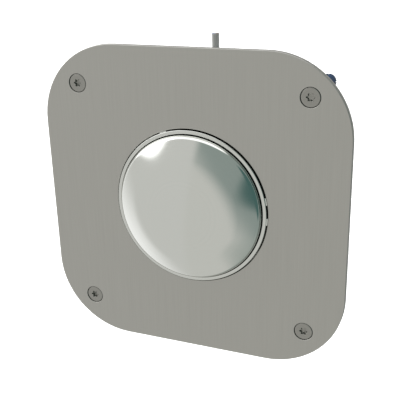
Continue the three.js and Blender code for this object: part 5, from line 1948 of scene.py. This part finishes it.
@dataclass
class Microswitch:
    """The hinged-lever switch behind the stem, with its blades."""

    pivot: Point3 = (0, 25.3, -16)
    pin_half: float = 4.4
    pin_radius: float = 0.6
    plunger_radius: float = 1.5
    plunger_crown: float = 3.0
    plunger_tip: float = 25.99
    plunger_length: float = 5.2
    plunger_height: float = -10.5
    plunger_steps: int = 6
    small_chamfer: float = 0.15
    case_edge: float = 0.25
    lever_edge: float = 0.08
    blade_half_width: float = 2.4
    blade_half_thickness: float = 0.4
    blade_front: float = 43.9
    blade_rear: float = 50.3
    blade_hole: float = 0.85
    blade_hole_share: float = 0.6
    blade_tip: float = 0.9
    blade_edge: float = 0.1
    blade_heights: tuple[float, ...] = (-15.0, -5.0, 5.0)

    def plunger(self) -> None:
        """The red plunger under the lever."""
        centre = self.plunger_tip + self.plunger_crown
        radius, chamfer = self.plunger_radius, self.small_chamfer
        edge = math.asin((radius - chamfer) / self.plunger_crown)
        rear = self.plunger_tip + self.plunger_length
        crown = arc(0, centre, self.plunger_crown, 0, edge, self.plunger_steps)
        profile = [*crown, (radius, crown[-1][1] + chamfer), (radius, rear), (0, rear)]
        pip = lathe("switch_pip", profile, ROD_SIDES, (0, self.plunger_height))
        install(pip, RED_PLASTIC, "switch_plunger", body="plunger")

    def lever(self) -> None:
        """The lever and its pin."""
        from_solid(
            "switch_leaf", "switch_lever", SPRING_STEEL, self.lever_edge, body="lever"
        )
        half, radius, chamfer = self.pin_half, self.pin_radius, self.small_chamfer
        pin = lathe("switch_axle", [
            (0, -half), (radius - chamfer, -half), (radius, chamfer - half),
            (radius, half - chamfer), (radius - chamfer, half), (0, half),
        ], SMALL_SIDES)
        moved(pin, self.pivot, turn_z=90)
        install(pin, SPRING_STEEL, "lever_pin")

    def blades(self) -> None:
        """Three blade terminals, each with its hole."""
        front, rear, half = self.blade_front, self.blade_rear, self.blade_half_width
        tip, thick = self.blade_tip, self.blade_half_thickness
        outline = [
            (front, -half), (rear - tip, -half), (rear, tip - half), (rear, half - tip),
            (rear - tip, half), (front, half),
        ]
        faces = [[(x, y, z) for y, z in outline] for x in (-thick, thick)]
        blade = bar("blade", tuple(faces))
        hole = lathe("blade_hole", rod(self.blade_hole, -2, 2), SMALL_SIDES)
        moved(hole, (0, front + self.blade_hole_share * (rear - front), 0), turn_z=90)
        blade = softened(joined(blade, [hole], "DIFFERENCE"), self.blade_edge)
        at_places(
            "switch_terminals", blade, [(0, 0, z) for z in self.blade_heights], BRASS,
            "terminal_common", "terminal_closed", "terminal_open",
        )

    def build(self) -> None:
        """Makes the switch's pieces."""
        from_solid("switch_body", "switch_case", CASE_PLASTIC, self.case_edge, steps=3)
        self.plunger()
        self.lever()
        self.blades()


@dataclass
class Bracket:
    """The angle bracket with its small screws, and the saddle that holds the lead."""

    head_radius: float = 2.75
    head_height: float = 2.0
    slot_half: float = 0.4
    slot_depth: float = 0.9
    shank_radius: float = 1.5
    pitch: float = 0.5
    foot_face: float = 19.5
    foot_x: float = -13.25
    foot_heights: tuple[float, ...] = (-11.5, 7.0)
    foot_screw: float = 4.5
    case_face: float = 5.15
    case_places: tuple[Point2, ...] = ((41.1, -15.7), (30.8, 6.5))
    case_screw: float = 15.2
    nut_face: float = -6.65
    nut_across: float = 5.5
    nut_height: float = 2.4
    saddle_face: float = -3.95
    saddle_place: Point2 = (34.9, 19.0)
    saddle_screw: float = 3.7
    sheet_edge: float = 0.12
    saddle_edge: float = 0.3

    def screw(self, name: str, length: float) -> bpy.types.Object:
        """Makes a slotted cheese-head screw about the y axis, its head at negative y.

        Args:
            name: Name of the screw.
            length: Length under the head.

        Returns:
            The screw.
        """
        head, high = self.head_radius, self.head_height
        core = self.shank_radius - RIDGE_SHARE * self.pitch
        screw = lathe(name, [
            (0, -high), (head - 0.8, -high), (head - 0.35, 0.12 - high), (head, 0.5 - high),
            (head, -0.15), (head - 0.15, 0), (core, 0), (core, length - 0.35),
            (core - 0.3, length), (0, length),
        ], ROD_SIDES)
        slot = prism("slot", oblong(self.slot_half, head + 1), -high - 1, self.slot_depth - high)
        screw = joined(screw, [slot], "DIFFERENCE")
        return threaded(screw, self.shank_radius, self.pitch, 0.2, length - 0.3, ZINC_STEEL)

    def build(self) -> None:
        """Makes the bracket's pieces."""
        from_solid("bracket_sheet", "switch_bracket", ZINC_STEEL, self.sheet_edge)
        bolt = moved(self.screw("bolt", self.foot_screw), turn_z=180)
        places = [(self.foot_x, self.foot_face, z) for z in self.foot_heights]
        at_places("bracket_bolts", bolt, places, ZINC_STEEL, *numbered("bracket_screw", 2))
        bolt = moved(self.screw("bolt", self.case_screw), turn_z=90)
        places = [(self.case_face, y, z) for y, z in self.case_places]
        at_places("switch_bolts", bolt, places, ZINC_STEEL, *numbered("switch_screw", 2))
        nut = hex_nut("nut", self.nut_across, 0, self.nut_height, self.shank_radius)
        moved(nut, turn_z=90)
        places = [(self.nut_face, y, z) for y, z in self.case_places]
        at_places("switch_bolt_nuts", nut, places, ZINC_STEEL, *numbered("switch_nut", 2))
        from_solid("lead_saddle", "lead_clip", BLACK_NYLON, self.saddle_edge, steps=3, crease=28)
        place = (self.saddle_face, *self.saddle_place)
        bolt = moved(self.screw("saddle_bolt", self.saddle_screw), place, turn_z=90)
        install(smoothed(bolt), ZINC_STEEL, "clip_screw")


def main() -> None:
    """Builds the studio and the object."""
    logging.basicConfig(level=logging.INFO, format="%(name)s: %(message)s")
    for assembly in (
        Studio(), Wiring(), Panel(), Collar(), Carrier(), Button(), Microswitch(), Bracket()
    ):
        assembly.build()


if __name__ == "__main__":
    main()
